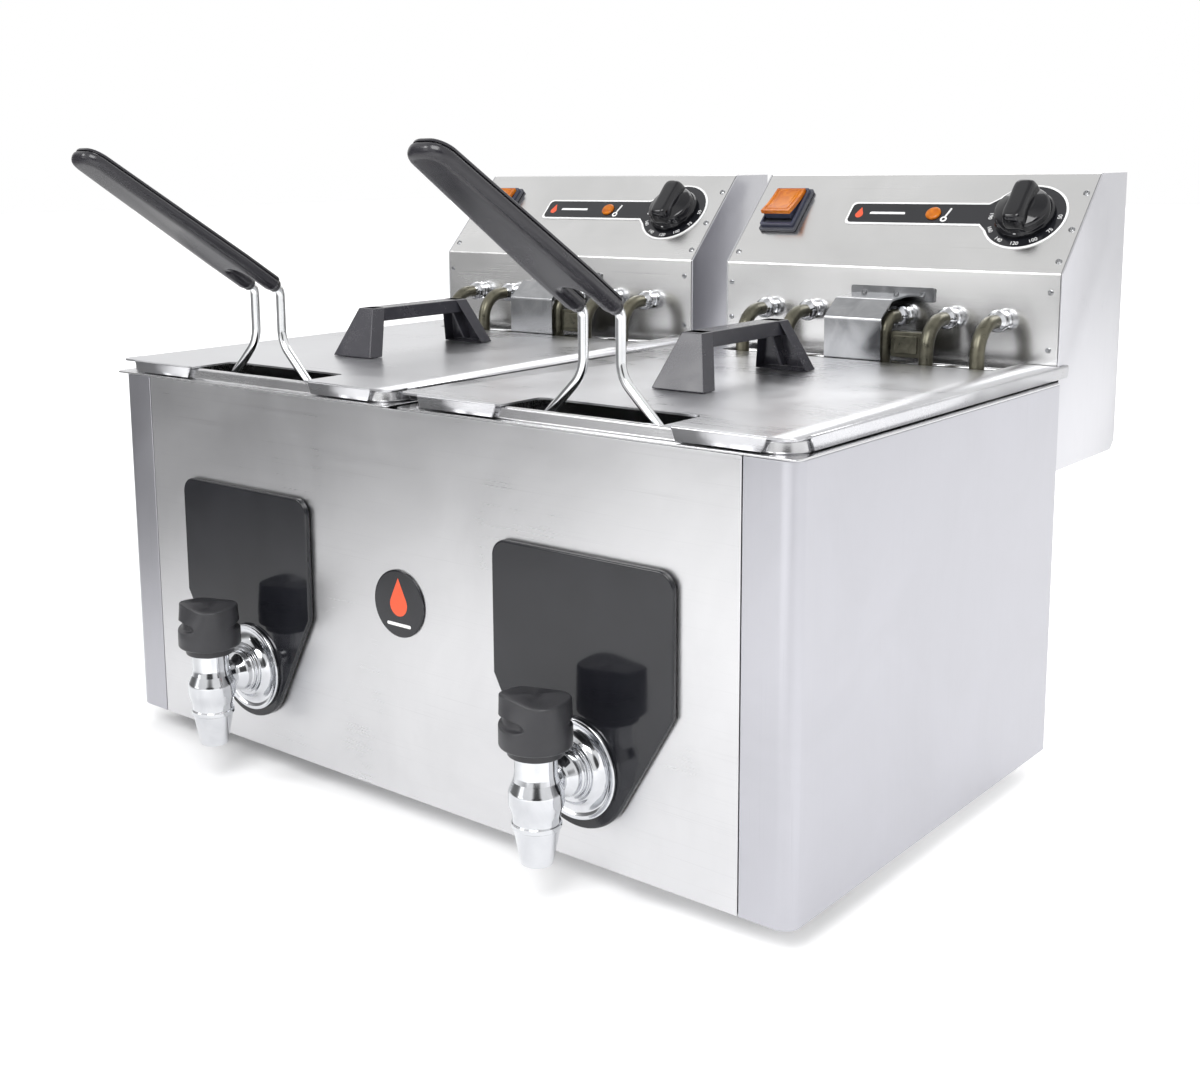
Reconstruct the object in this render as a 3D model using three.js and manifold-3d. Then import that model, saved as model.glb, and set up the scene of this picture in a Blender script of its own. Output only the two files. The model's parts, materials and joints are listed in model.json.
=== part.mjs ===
// Twin-tank countertop deep fryer: one cabinet, two tanks with drain taps, and for each tank
// a lift-off control head with immersion elements, a frying basket and a lid.
// Millimetres, +Z up, the front faces -Y. While it is built, y = 0 is the outer face of the
// front panel and z = 0 the cabinet's lower edge; the last lines stand the fryer on its feet
// with its origin under the middle of its bounding box.
import * as THREE from "three";
import { mergeVertices } from "three/addons/utils/BufferGeometryUtils.js";
import Module from "manifold-3d";

const wasm = await Module();
wasm.setup();

// ---- driving dimensions ----
const SHEET = 1.2; // stainless sheet
const GAP = 0.3; // clearance between pieces that touch
// The two halves. The tanks and lids are alike and not mirrored, so each half also states
// how far its tank and lid stand from those of the right half, and where its basket hangs.
const SIDES = [
  { name: "left", sign: -1, tankShift: -279.5, lidShift: -276.4, well: -137 },
  { name: "right", sign: 1, tankShift: 0, lidShift: 0, well: 138.5 },
];

const CABINET = { halfWidth: 272.5, depth: 318, height: 241.5, corner: 9.5, seam: 241.3 };
const FOOT = { height: 15, radius: 15, x: 232, front: 39, rear: 288 };

const TANK = {
  lip: { x0: 0.4, x1: 273.3, y0: -0.8, y1: 318.2 },
  corner: 20,
  lipCorner: 4,
  rimTop: 250.2,
  rimInset: 5.8,
  mouthInset: 10,
  bottom: 40,
  fillet: 4,
};

const LID = { x0: 0.5, x1: 269.5, front: 2, rear: 327, top: 251.7, flange: 7.9, corner: 7 };
const LID_CORNER_CUT = 16; // the flanges stop this far short of each front corner
const CUT_OUT = { x: 137.5, halfWidth: 56, rear: 36.5, corner: 4 };
const REAR_NOTCH = { halfWidth: 101.5, front: 285 };
const LID_EAR = 339; // the side flanges run back past the head's front
const LID_HANDLE = { x: 132, y0: 100, y1: 226, height: 33, foot: 37.4, top: 14.4, bar: 9.5 };

const BASKET = { halfX: 100, y0: 25, y1: 249, z0: 86, z1: 200, corner: 24, wall: 1, draft: 4 };
const WIRE = { radius: 2.9, y: 21, bend: 271, slotHalf: 36, slotZ: 248, spread: 12.8 };
const GRIP = { y: 17.8, z: 307.5, pitch: 32.8, length: 157, thick: 9.4, prong: 6, tipHalf: 13.6 };

const TAP = { x: 138.3, z: 56, y: -37.4, rosette: 29 };
const TAP_PLATE = { x: 141, top: 176.5, half: 62.5, taperZ: 98, roundX: 139.5, round: 34.5 };

// Control head: section through its side, and the 45 degree control slope
const HEAD = {
  x: 141,
  halfWidth: 126,
  lowFront: 319,
  front: 329.1,
  step: CABINET.height,
  bendZ: 310.3,
  crestY: 389.8,
  top: 372.5,
  back: 432.8,
  bottom: 183.4,
};
const SLOPE = new THREE.Vector3(0, HEAD.crestY - HEAD.front, HEAD.top - HEAD.bendZ).normalize();
const DIAL = { dx: 85.9, s: 47.6, radius: 28.1 };
const STRIP = { x0: -45, low: 39, high: 59.4 };
const SWITCH = { dx: -96, s: 50, halfX: 15, halfS: 20, pivot: 2, tilt: 12 };
const LAMP = { dx: 20.5, s: 48.8, radius: 5.3 };

const TUBE = 4.7; // radius of an element's sheath
const ELEMENTS = [
  { name: "outer", half: 87.5, front: 42, drop: 292, bend: 20, turn: 30 },
  { name: "middle", half: 52.5, front: 76, drop: 292, bend: 20, turn: 26 },
  { name: "inner", half: 17.5, front: 110, drop: 301, bend: 12, turn: 17 },
];
const GLAND = { z: 279, radius: 7.4, reach: 15.5 };
const HEATER_Z = 66; // level of the elements over the tank floor

// ---- finishes ----
const FINISH = {
  satinSteel: { color: 0xb9babd, roughness: 0.42, metalness: 1 },
  brightSteel: { color: 0xd4d6d8, roughness: 0.2, metalness: 1 },
  chrome: { color: 0xe6e8ea, roughness: 0.08, metalness: 1 },
  sheath: { color: 0x6d6c5c, roughness: 0.4, metalness: 0.8 },
  glossBlack: { color: 0x14161a, roughness: 0.15, metalness: 0 },
  satinBlack: { color: 0x26272b, roughness: 0.45, metalness: 0 },
  greyPlastic: { color: 0x3d3d44, roughness: 0.5, metalness: 0 },
  rubber: { color: 0x1b1b1c, roughness: 0.85, metalness: 0 },
  amber: { color: 0xf08010, roughness: 0.25, metalness: 0 },
  bakelite: { color: 0x5a2f1c, roughness: 0.5, metalness: 0 },
};

const fryer = new THREE.Group();

// ---- solids ----

// The signed volume of an indexed triangle mesh.
function signedVolume(position, index) {
  const [a, b, c] = [new THREE.Vector3(), new THREE.Vector3(), new THREE.Vector3()];
  let volume = 0;
  for (let i = 0; i < index.length; i += 3) {
    a.fromBufferAttribute(position, index[i]);
    b.fromBufferAttribute(position, index[i + 1]);
    c.fromBufferAttribute(position, index[i + 2]);
    volume += a.dot(b.cross(c)) / 6;
  }
  return volume;
}

// A closed geometry as a solid whose faces point outwards.
function solid(geometry) {
  const bare = geometry.index ? geometry.toNonIndexed() : geometry.clone();
  for (const name of Object.keys(bare.attributes)) {
    if (name !== "position") bare.deleteAttribute(name);
  }
  const merged = mergeVertices(bare, 1e-4);
  const { position } = merged.attributes;
  const index = [];
  for (let i = 0; i < merged.index.count; i += 3) {
    const [p, q, r] = [0, 1, 2].map((k) => merged.index.getX(i + k));
    if (p !== q && q !== r && r !== p) index.push(p, q, r);
  }
  if (signedVolume(position, index) < 0) index.reverse();
  const triVerts = new Uint32Array(index);
  return new wasm.Manifold(new wasm.Mesh({ numProp: 3, vertProperties: position.array, triVerts }));
}

function geometryOf(shape) {
  const mesh = shape.getMesh();
  const geometry = new THREE.BufferGeometry();
  geometry.setAttribute("position", new THREE.BufferAttribute(mesh.vertProperties, 3));
  geometry.setIndex(new THREE.BufferAttribute(mesh.triVerts, 1));
  geometry.computeVertexNormals();
  return geometry;
}

const join = (...shapes) => shapes.reduce((whole, shape) => whole.add(shape));
const cut = (shape, ...tools) => tools.reduce((left, tool) => left.subtract(tool), shape);

// Adds a named piece to the fryer.
function piece(name, shape, finish) {
  const mesh = new THREE.Mesh(geometryOf(shape), new THREE.MeshStandardMaterial(FINISH[finish]));
  mesh.name = name;
  fryer.add(mesh);
}

function block([x0, x1], [y0, y1], [z0, z1]) {
  const geometry = new THREE.BoxGeometry(x1 - x0, y1 - y0, z1 - z0);
  geometry.translate((x0 + x1) / 2, (y0 + y1) / 2, (z0 + z1) / 2);
  return solid(geometry);
}

const outline = (points) => new THREE.Shape(points.map(([u, v]) => new THREE.Vector2(u, v)));

// The plane each prism's outline is drawn in, for a prism that runs along x, y or z.
const PRISM_BASIS = {
  x: [[0, 1, 0], [0, 0, 1], [1, 0, 0]],
  y: [[1, 0, 0], [0, 0, 1], [0, -1, 0]],
  z: [[1, 0, 0], [0, 1, 0], [0, 0, 1]],
};

// An outline (an array of points or a Shape) extruded along an axis, from one place to another.
function prism(axis, drawn, from, to, curveSegments = 6) {
  const shape = Array.isArray(drawn) ? outline(drawn) : drawn;
  const geometry = new THREE.ExtrudeGeometry(shape, {
    depth: to - from,
    bevelEnabled: false,
    curveSegments,
  });
  const [u, v, w] = PRISM_BASIS[axis].map((n) => new THREE.Vector3(...n));
  geometry.applyMatrix4(new THREE.Matrix4().makeBasis(u, v, w));
  geometry.translate(...w.multiplyScalar(axis === "y" ? -to : from).toArray());
  return solid(geometry);
}

// The outline of a shape drawn for the right-hand side, mirrored for the left.
const sideways = (sign, shape, segments) =>
  outline(shape.getPoints(segments).map((p) => [sign * p.x, p.y]));

// A profile of [radius, height] points turned about an upright axis through (x, y).
function turnedZ(profile, x, y, segments = 20) {
  const geometry = new THREE.LatheGeometry(
    profile.map(([r, h]) => new THREE.Vector2(r, h)),
    segments,
  );
  geometry.rotateX(Math.PI / 2).translate(x, y, 0);
  return solid(geometry);
}

// A profile of [radius, y] points turned about a front-to-back axis through (x, z).
function turnedY(profile, x, z, segments = 20) {
  const geometry = new THREE.LatheGeometry(
    profile.map(([r, h]) => new THREE.Vector2(r, h)),
    segments,
  );
  geometry.translate(x, 0, z);
  return solid(geometry);
}

// A rod along y, for cutting round holes through upright sheets.
const rodY = (x, z, radius, y0, y1, segments = 12) =>
  turnedY([[0, y0], [radius, y0], [radius, y1], [0, y1]], x, z, segments);

const rodZ = (x, y, radius, z0, z1, segments = 12) =>
  turnedZ([[0, z0], [radius, z0], [radius, z1], [0, z1]], x, y, segments);

// ---- bent tube along corner points with rounded bends ----

class Route extends THREE.Curve {
  constructor(points) {
    super();
    this.points = points;
  }
  getPoint(t) {
    const place = t * (this.points.length - 1);
    const i = Math.min(Math.floor(place), this.points.length - 2);
    return this.points[i].clone().lerp(this.points[i + 1], place - i);
  }
  getPointAt(t) {
    return this.getPoint(t);
  }
  getTangent(t) {
    const last = this.points.length - 1;
    const i = Math.round(t * last);
    const into = this.points[Math.max(i, 1)].clone().sub(this.points[Math.max(i, 1) - 1]);
    const j = Math.min(i, last - 1);
    const out = this.points[j + 1].clone().sub(this.points[j]);
    return into.normalize().add(out.normalize()).normalize();
  }
  getTangentAt(t) {
    return this.getTangent(t);
  }
}

// Corner points [x, y, z, bend radius] become points along straights and arcs.
function routed(corners, arcSteps) {
  const at = corners.map(([x, y, z]) => new THREE.Vector3(x, y, z));
  const points = [at[0]];
  for (let i = 1; i < at.length - 1; i++) {
    const back = at[i - 1].clone().sub(at[i]).normalize();
    const on = at[i + 1].clone().sub(at[i]).normalize();
    const half = back.angleTo(on) / 2;
    const radius = corners[i][3];
    const middle = back.clone().add(on).normalize().multiplyScalar(radius / Math.sin(half)).add(at[i]);
    const start = at[i].clone().addScaledVector(back, radius / Math.tan(half)).sub(middle);
    const end = at[i].clone().addScaledVector(on, radius / Math.tan(half)).sub(middle);
    const sweep = start.angleTo(end);
    for (let k = 0; k <= arcSteps; k++) {
      const a = ((arcSteps - k) * sweep) / arcSteps;
      const b = (k * sweep) / arcSteps;
      const spoke = start.clone().multiplyScalar(Math.sin(a)).addScaledVector(end, Math.sin(b));
      points.push(spoke.divideScalar(Math.sin(sweep)).add(middle));
    }
  }
  points.push(at[at.length - 1]);
  return points;
}

function tube(corners, radius, arcSteps = 4, sides = 8) {
  const points = routed(corners, arcSteps);
  const round = Array.from({ length: sides }, (_, i) => {
    const angle = (2 * Math.PI * i) / sides;
    return [radius * Math.cos(angle), radius * Math.sin(angle)];
  });
  const path = new Route(points);
  return solid(
    new THREE.ExtrudeGeometry(outline(round), { steps: points.length - 1, extrudePath: path }),
  );
}

// ---- pans: a wall profile led round a rounded rectangle ----

function ring({ x0, x1, y0, y1 }, inset, radius, z, steps = 5) {
  const points = [];
  for (let quarter = 0; quarter < 4; quarter++) {
    const right = quarter === 0 || quarter === 3;
    const far = quarter < 2;
    const cx = right ? x1 - inset - radius : x0 + inset + radius;
    const cy = far ? y1 - inset - radius : y0 + inset + radius;
    for (let k = 0; k <= steps; k++) {
      const angle = ((quarter + k / steps) * Math.PI) / 2;
      points.push([cx + radius * Math.cos(angle), cy + radius * Math.sin(angle), z]);
    }
  }
  return points;
}

// The profile is a list of [inset, z], or [inset, z, corner radius] where the corner isn't
// concentric; its first and last rings are closed with flat floors.
function pan(bounds, corner, profile) {
  const rings = profile.map(([inset, z, radius = Math.max(corner - inset, 2)]) =>
    ring(bounds, inset, radius, z),
  );
  const count = rings[0].length;
  const positions = rings.flat(2);
  const index = [];
  for (let r = 0; r < rings.length - 1; r++) {
    for (let k = 0; k < count; k++) {
      const [a, b] = [r * count + k, r * count + ((k + 1) % count)];
      index.push(a, b, b + count, a, b + count, a + count);
    }
  }
  const last = (rings.length - 1) * count;
  for (let k = 1; k < count - 1; k++) {
    index.push(0, k + 1, k, last, last + k, last + k + 1);
  }
  const geometry = new THREE.BufferGeometry();
  geometry.setAttribute("position", new THREE.Float32BufferAttribute(positions, 3));
  geometry.setIndex(index);
  return solid(geometry);
}

const shifted = ({ x0, x1, y0, y1 }, dx) => ({ x0: x0 + dx, x1: x1 + dx, y0, y1 });

// Steps of a quarter-round between a floor and a wall, as [inset, z] pairs.
function quarter(inset, z, radius, steps = 3) {
  return Array.from({ length: steps + 1 }, (_, k) => {
    const angle = (k / steps) * (Math.PI / 2);
    return [inset + radius * (1 - Math.sin(angle)), z + radius * (1 - Math.cos(angle))];
  });
}

// ---- cabinet ----

function sidePanel(sign) {
  const { halfWidth, depth, corner, seam, height } = CABINET;
  const shape = new THREE.Shape();
  const centre = halfWidth - corner;
  shape.moveTo(seam + GAP, 0);
  shape.lineTo(centre, 0);
  shape.absarc(centre, corner, corner, -Math.PI / 2, 0);
  shape.lineTo(halfWidth, depth);
  shape.lineTo(halfWidth - SHEET, depth);
  shape.absarc(centre, corner, corner - SHEET, 0, -Math.PI / 2, true);
  shape.lineTo(seam + GAP, SHEET);
  return prism("z", sideways(sign, shape, 6), 0, height);
}

function cabinet() {
  for (const { name, sign } of SIDES) {
    piece(`side_panel_${name}`, sidePanel(sign), "satinSteel");
  }
  const { halfWidth, depth, height, seam } = CABINET;
  const holes = SIDES.map(({ sign }) => rodY(sign * TAP.x, TAP.z, 10.8, -1, 3, 16));
  const front = block([GAP - seam, seam - GAP], [0, SHEET], [0, height]);
  piece("front_panel", cut(front, ...holes), "satinSteel");
  const inner = halfWidth - SHEET - GAP;
  const rear = depth - SHEET;
  piece("rear_panel", block([-inner, inner], [rear, depth], [GAP, height]), "satinSteel");
  const near = SHEET + GAP;
  const straight = halfWidth - CABINET.corner;
  const floor = [
    [-straight, near],
    [straight, near],
    [inner, CABINET.corner],
    [inner, rear - GAP],
    [-inner, rear - GAP],
    [-inner, CABINET.corner],
  ];
  piece("base_plate", prism("z", floor, 0.5, 0.5 + SHEET), "satinSteel");
  for (const { name, sign } of SIDES) {
    for (const [end, y] of [["front", FOOT.front], ["rear", FOOT.rear]]) {
      const { height: tall, radius } = FOOT;
      const profile = [[0, -tall], [radius - 2, -tall], [radius, 0.2], [0, 0.2]];
      piece(`foot_${end}_${name}`, turnedZ(profile, sign * FOOT.x, y, 16), "rubber");
    }
  }
  const badge = [[0, -GAP], [20.9, -GAP], [20.9, -0.9], [20.2, -1.4], [0, -1.4]];
  piece("emblem", turnedY(badge, 0, 123, 32), "glossBlack");
}

// ---- tank with its raised rim and drain stub ----

function tank({ name, sign, tankShift }) {
  const { lip, corner, lipCorner, rimTop, rimInset, mouthInset, bottom, fillet } = TANK;
  const wall = mouthInset - SHEET;
  const lipZ = CABINET.height + GAP;
  const rim = [
    [wall, lipZ],
    [0, lipZ, lipCorner],
    [0, lipZ + SHEET, lipCorner],
    [rimInset, lipZ + SHEET],
    [rimInset, rimTop - 0.8],
    [rimInset + 0.8, rimTop],
    [mouthInset - 0.6, rimTop],
    [mouthInset, rimTop - 0.6],
  ];
  const outer = quarter(wall, bottom, fillet);
  const inner = quarter(mouthInset, bottom + SHEET, fillet - SHEET).reverse();
  const shell = pan(shifted(lip, tankShift), corner, [...outer, ...rim, ...inner]);
  const frontWall = lip.y0 + mouthInset;
  const stub = rodY(sign * TAP.x, TAP.z, 10, -6, frontWall - 0.4, 16);
  const drain = rodY(sign * TAP.x, TAP.z, 7.5, -8, frontWall + 3, 16);
  piece(`tank_${name}`, cut(join(shell, stub), drain), "satinSteel");
}

// ---- drain tap, its shield plate and its knob ----

function tapPlate(sign) {
  const { top, half, taperZ, round } = TAP_PLATE;
  const x = sign * TAP_PLATE.x;
  const low = sign * TAP_PLATE.roundX;
  // the angle at which a taper line from beside the round's centre touches it
  const touch = (reach) => {
    const rise = taperZ - TAP.z;
    return Math.atan2(rise, reach) - Math.acos(round / Math.hypot(reach, rise));
  };
  const corner = 10;
  const shape = new THREE.Shape();
  shape.moveTo(x + half, taperZ);
  shape.lineTo(x + half, top - corner);
  shape.absarc(x + half - corner, top - corner, corner, 0, Math.PI / 2);
  shape.absarc(x - half + corner, top - corner, corner, Math.PI / 2, Math.PI);
  shape.lineTo(x - half, taperZ);
  const from = Math.PI - touch(low - (x - half));
  const to = 2 * Math.PI + touch(x + half - low);
  shape.absarc(low, TAP.z, round, from, to);
  return cut(prism("y", shape, -4.3, -GAP, 8), rodY(sign * TAP.x, TAP.z, 10.8, -6, 1, 16));
}

function tap({ name, sign }) {
  const { z, y } = TAP;
  const x = sign * TAP.x;
  piece(`tap_plate_${name}`, tapPlate(sign), "glossBlack");
  const rim = TAP.rosette;
  const rosette = [
    [10.6, -4.6],
    [rim, -4.6],
    [rim, -6.2],
    [rim - 1.6, -7],
    [16.5, -8.4],
    [14.6, -10.5],
    [13.6, -14],
    [10.6, -14],
    [10.6, -4.6],
  ];
  piece(`tap_flange_${name}`, turnedY(rosette, x, z, 32), "chrome");
  const neck = [[0, -6.3], [10, -6.3], [10, -20], [8.6, -24], [8.6, y], [0, y]];
  const body = [
    [0, 34],
    [6.5, 34],
    [6.5, 12.8],
    [8.8, 12.8],
    [13, 33.5],
    [13.5, 35],
    [13.2, 38],
    [14.6, 42],
    [15, 50],
    [14.4, 56],
    [11.7, 62],
    [11.7, 74],
    [4, 74],
    [4, 88],
    [0, 88],
  ];
  const bodyShape = join(turnedZ(body, x, y, 24), turnedY(neck.slice().reverse(), x, z, 20));
  const spout = rodZ(x, y, 6.5, 10, 34);
  piece(`tap_body_${name}`, cut(bodyShape, spout), "chrome");
  const wing = { x0: x - 19, x1: x + 19, y0: y - 10.5, y1: y + 10.5 };
  const bar = pan(wing, 7, [[0, 84], [0, 106], [1.4, 107.6], [3, 107.6]]);
  const disc = [[0, 76.8], [17.8, 76.8], [20, 79], [20, 90.5], [17, 94], [0, 94]];
  const round = turnedZ(disc, x, y, 28);
  const skirt = rodZ(x, y, 15.5, 74.4, 86, 24);
  const socket = rodZ(x, y, 4.4, 70, 88.4);
  piece(`tap_knob_${name}`, cut(join(bar, round, skirt), socket), "satinBlack");
}

// ---- lid ----

function lidPlan(dx) {
  const { x0, x1, front, rear, corner } = shiftedLid(dx);
  const shape = new THREE.Shape();
  const notch = [HEAD.x + dx - REAR_NOTCH.halfWidth, HEAD.x + dx + REAR_NOTCH.halfWidth];
  const slot = [CUT_OUT.x + dx - CUT_OUT.halfWidth, CUT_OUT.x + dx + CUT_OUT.halfWidth];
  shape.moveTo(slot[1], front);
  shape.lineTo(x1 - corner, front);
  shape.absarc(x1 - corner, front + corner, corner, -Math.PI / 2, 0);
  shape.lineTo(x1, rear);
  shape.lineTo(notch[1], rear);
  shape.lineTo(notch[1], REAR_NOTCH.front);
  shape.lineTo(notch[0], REAR_NOTCH.front);
  shape.lineTo(notch[0], rear);
  shape.lineTo(x0, rear);
  shape.absarc(x0 + corner, front + corner, corner, Math.PI, 1.5 * Math.PI);
  shape.lineTo(slot[0], front);
  const { corner: r, rear: slotRear } = CUT_OUT;
  shape.absarc(slot[0] + r, slotRear - r, r, Math.PI, Math.PI / 2, true);
  shape.absarc(slot[1] - r, slotRear - r, r, Math.PI / 2, 0, true);
  return shape;
}

const shiftedLid = (dx) => ({ ...LID, x0: LID.x0 + dx, x1: LID.x1 + dx });

// A folded-down edge: a strip whose ends lean in towards its lower edge.
function flangeStrip(from, to, leanFrom = 3, leanTo = 3) {
  const low = LID.top - LID.flange;
  return [[from, LID.top - 0.2], [to, LID.top - 0.2], [to - leanTo, low], [from + leanFrom, low]];
}

function lid({ name, lidShift }) {
  const { x0, x1, front, top } = shiftedLid(lidShift);
  const slotGap = CUT_OUT.halfWidth + 4;
  const slot = [CUT_OUT.x + lidShift - slotGap, CUT_OUT.x + lidShift + slotGap];
  const plate = prism("z", lidPlan(lidShift), top - SHEET, top);
  const fronts = [
    flangeStrip(x0 + LID_CORNER_CUT, slot[0], 3, 2.5),
    flangeStrip(slot[1], x1 - LID_CORNER_CUT, 2.5, 3),
  ].map((strip) => prism("y", strip, front, front + SHEET));
  const side = flangeStrip(front + LID_CORNER_CUT, LID_EAR, 3, 1);
  const edges = [
    prism("x", side, x1 - SHEET, x1),
    prism("x", side, x0, x0 + SHEET),
  ];
  piece(`lid_${name}`, join(plate, ...fronts, ...edges), "satinSteel");
  lidHandle(name, LID_HANDLE.x + lidShift);
}

function lidHandle(name, x) {
  const { y0, y1, height, foot, top, bar } = LID_HANDLE;
  const base = LID.top + GAP;
  const crown = base + height - GAP;
  const lean = 15; // how far each leg leans in at its top
  const thick = 12;
  const front = [[y0, base], [y0 + thick, base], [y0 + lean + thick, crown], [y0 + lean, crown]];
  const rear = front.map(([y, z]) => [y0 + y1 - y, z]);
  const flare = prism(
    "y",
    [[x - foot / 2, base], [x + foot / 2, base], [x + top / 2, crown], [x - top / 2, crown]],
    y0 - 1,
    y1 + 1,
  );
  const legs = [front, rear].map((leg) => prism("x", leg, x - 30, x + 30).intersect(flare));
  const span = [y0 + lean + 1, y1 - lean - 1];
  const rail = block([x - top / 2, x + top / 2], span, [crown - bar, crown]);
  piece(`lid_handle_${name}`, join(...legs, rail), "greyPlastic");
}

// ---- frying basket, its wire handle and its grip ----

function basket({ name, well: x }) {
  const { halfX, y0, y1, z0, z1, corner, wall, draft } = BASKET;
  const bounds = { x0: x - halfX, x1: x + halfX, y0, y1 };
  const outer = quarter(draft, z0, 8, 2);
  const inner = quarter(draft + wall, z0 + wall, 7, 2).reverse();
  const profile = [...outer, [0, z1], [wall, z1], ...inner];
  piece(`basket_${name}`, pan(bounds, corner, profile), "chrome");

  const { radius, y, bend, slotHalf, slotZ, spread: inset } = WIRE;
  const spread = slotHalf + 16; // the wires stand this far apart along the basket's front
  const lowBend = slotZ - 16;
  const foot = z0 + 22;
  const [gripX, gripY, gripZ] = gripDirection();
  const top = GRIP.z - ((y - GRIP.y) * gripZ) / -gripY; // where the upright meets the grip's line
  const inGrip = [gripX, y + 26 * gripY, top + 26 * gripZ];
  const corners = [
    [x - inset, inGrip[1], inGrip[2]],
    [x - inset, y, top, 7],
    [x - inset, y, bend, 14],
    [x - spread, y, lowBend, 14],
    [x - spread, y, foot, 12],
    [x + spread, y, foot, 12],
    [x + spread, y, lowBend, 14],
    [x + inset, y, bend, 14],
    [x + inset, y, top, 7],
    [x + inset, inGrip[1], inGrip[2]],
  ];
  piece(`basket_handle_${name}`, tube(corners, radius, 4, 8), "chrome");
  piece(`basket_grip_${name}`, grip(x), "glossBlack");
}

// The grip points forwards and up.
function gripDirection() {
  const angle = THREE.MathUtils.degToRad(GRIP.pitch);
  return [0, -Math.cos(angle), Math.sin(angle)];
}

// The grip lies in its own plane: u runs from the prongs to the tip, v across.
function grip(x) {
  const { y, z, length, thick, prong, tipHalf } = GRIP;
  const { spread, radius } = WIRE;
  const half = spread + prong;
  const tip = 11;
  const shape = new THREE.Shape();
  shape.absarc(prong, spread, prong, Math.PI / 2, 1.5 * Math.PI);
  shape.absarc(20, 0, spread - prong, Math.PI / 2, -Math.PI / 2, true);
  shape.absarc(prong, -spread, prong, Math.PI / 2, 1.5 * Math.PI);
  shape.lineTo(34, -half);
  shape.absarc(length - tip, tip - tipHalf, tip, -Math.PI / 2, 0);
  shape.absarc(length - tip, tipHalf - tip, tip, 0, Math.PI / 2);
  shape.lineTo(34, half);
  const geometry = new THREE.ExtrudeGeometry(shape, {
    depth: thick - 3,
    bevelThickness: 1.5,
    bevelSize: 1.5,
    bevelOffset: -1.5,
    bevelSegments: 2,
    curveSegments: 5,
  });
  geometry.translate(0, 0, 1.5 - thick / 2);
  const along = new THREE.Vector3(...gripDirection());
  const across = new THREE.Vector3(-1, 0, 0);
  const place = new THREE.Matrix4().makeBasis(along, across, along.clone().cross(across));
  place.setPosition(x, y, z);
  const bores = [-spread, spread].map((v) => {
    const bore = new THREE.CylinderGeometry(radius + GAP, radius + GAP, 34, 10);
    return solid(bore.rotateZ(Math.PI / 2).translate(13, v, 0).applyMatrix4(place));
  });
  return cut(solid(geometry.applyMatrix4(place)), ...bores);
}

// ---- control head ----

// Moves a geometry drawn in (x, along the slope, out of the slope) to its place on a head.
function toSlope(geometry, x, s) {
  const out = new THREE.Vector3(1, 0, 0).cross(SLOPE);
  const foot = new THREE.Vector3(x, HEAD.front, HEAD.bendZ).addScaledVector(SLOPE, s);
  const basis = new THREE.Matrix4().makeBasis(new THREE.Vector3(1, 0, 0), SLOPE, out);
  return geometry.applyMatrix4(basis).translate(...foot.toArray());
}

function slopePrism(drawn, x, s, low, high, curveSegments = 8) {
  const shape = Array.isArray(drawn) ? outline(drawn) : drawn;
  const options = { depth: high - low, bevelEnabled: false, curveSegments };
  const geometry = new THREE.ExtrudeGeometry(shape, options).translate(0, 0, low);
  return solid(toSlope(geometry, x, s));
}

function slopeTurned(profile, x, s, segments = 24) {
  const geometry = new THREE.LatheGeometry(
    profile.map(([r, h]) => new THREE.Vector2(r, h)),
    segments,
  );
  return solid(toSlope(geometry.rotateX(Math.PI / 2), x, s));
}

const rectangle = (halfX, halfS) => [
  [-halfX, -halfS],
  [halfX, -halfS],
  [halfX, halfS],
  [-halfX, halfS],
];

function housing(x) {
  const { halfWidth, lowFront, front, step, bendZ, crestY, top, back, bottom } = HEAD;
  const section = [
    [lowFront, bottom],
    [back - 6, bottom],
    [back, bottom + 6],
    [back, top],
    [crestY, top],
    [front, bendZ],
    [front, step],
    [lowFront, step],
  ];
  const hollow = [
    [lowFront + SHEET, bottom + SHEET],
    [back - 6, bottom + SHEET],
    [back - SHEET, bottom + 6],
    [back - SHEET, top + 1],
    [lowFront + SHEET, top + 1],
    [lowFront + SHEET, step],
    [front, step],
    [front, step - SHEET],
    [lowFront + SHEET, step - SHEET],
  ];
  const inner = halfWidth - SHEET;
  const shell = prism("x", section, x - halfWidth, x + halfWidth);
  const cable = rodZ(x + 60, 400, 8.4, bottom - 2, bottom + 4);
  return cut(shell, prism("x", hollow, x - inner, x + inner), cable);
}

function fascia(x) {
  const { halfWidth, front, step, bendZ, crestY, top, back } = HEAD;
  const inner = halfWidth - SHEET - GAP;
  const edge = SHEET * Math.tan(Math.PI / 8); // mitre of the sheet at each 45 degree bend
  const section = [
    [front, step + GAP],
    [front, bendZ],
    [crestY, top],
    [back - SHEET - GAP, top],
    [back - SHEET - GAP, top - SHEET],
    [crestY + edge, top - SHEET],
    [front + SHEET, bendZ - edge],
    [front + SHEET, step + GAP],
  ];
  const sheet = prism("x", section, x - inner, x + inner);
  const holes = ELEMENTS.flatMap(({ half }) =>
    [-half, half].map((dx) => rodY(x + dx, GLAND.z, TUBE + 0.7, front - 2, front + 4)),
  );
  const window = rectangle(SWITCH.halfX - 1.5, SWITCH.halfS - 2.5);
  const openings = [
    slopePrism(window, x + SWITCH.dx, SWITCH.s, -3, 2),
    slopePrism(rectangle(4.5, 4.5), x + DIAL.dx, DIAL.s, -3, 2),
  ];
  return cut(sheet, ...holes, ...openings);
}

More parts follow.
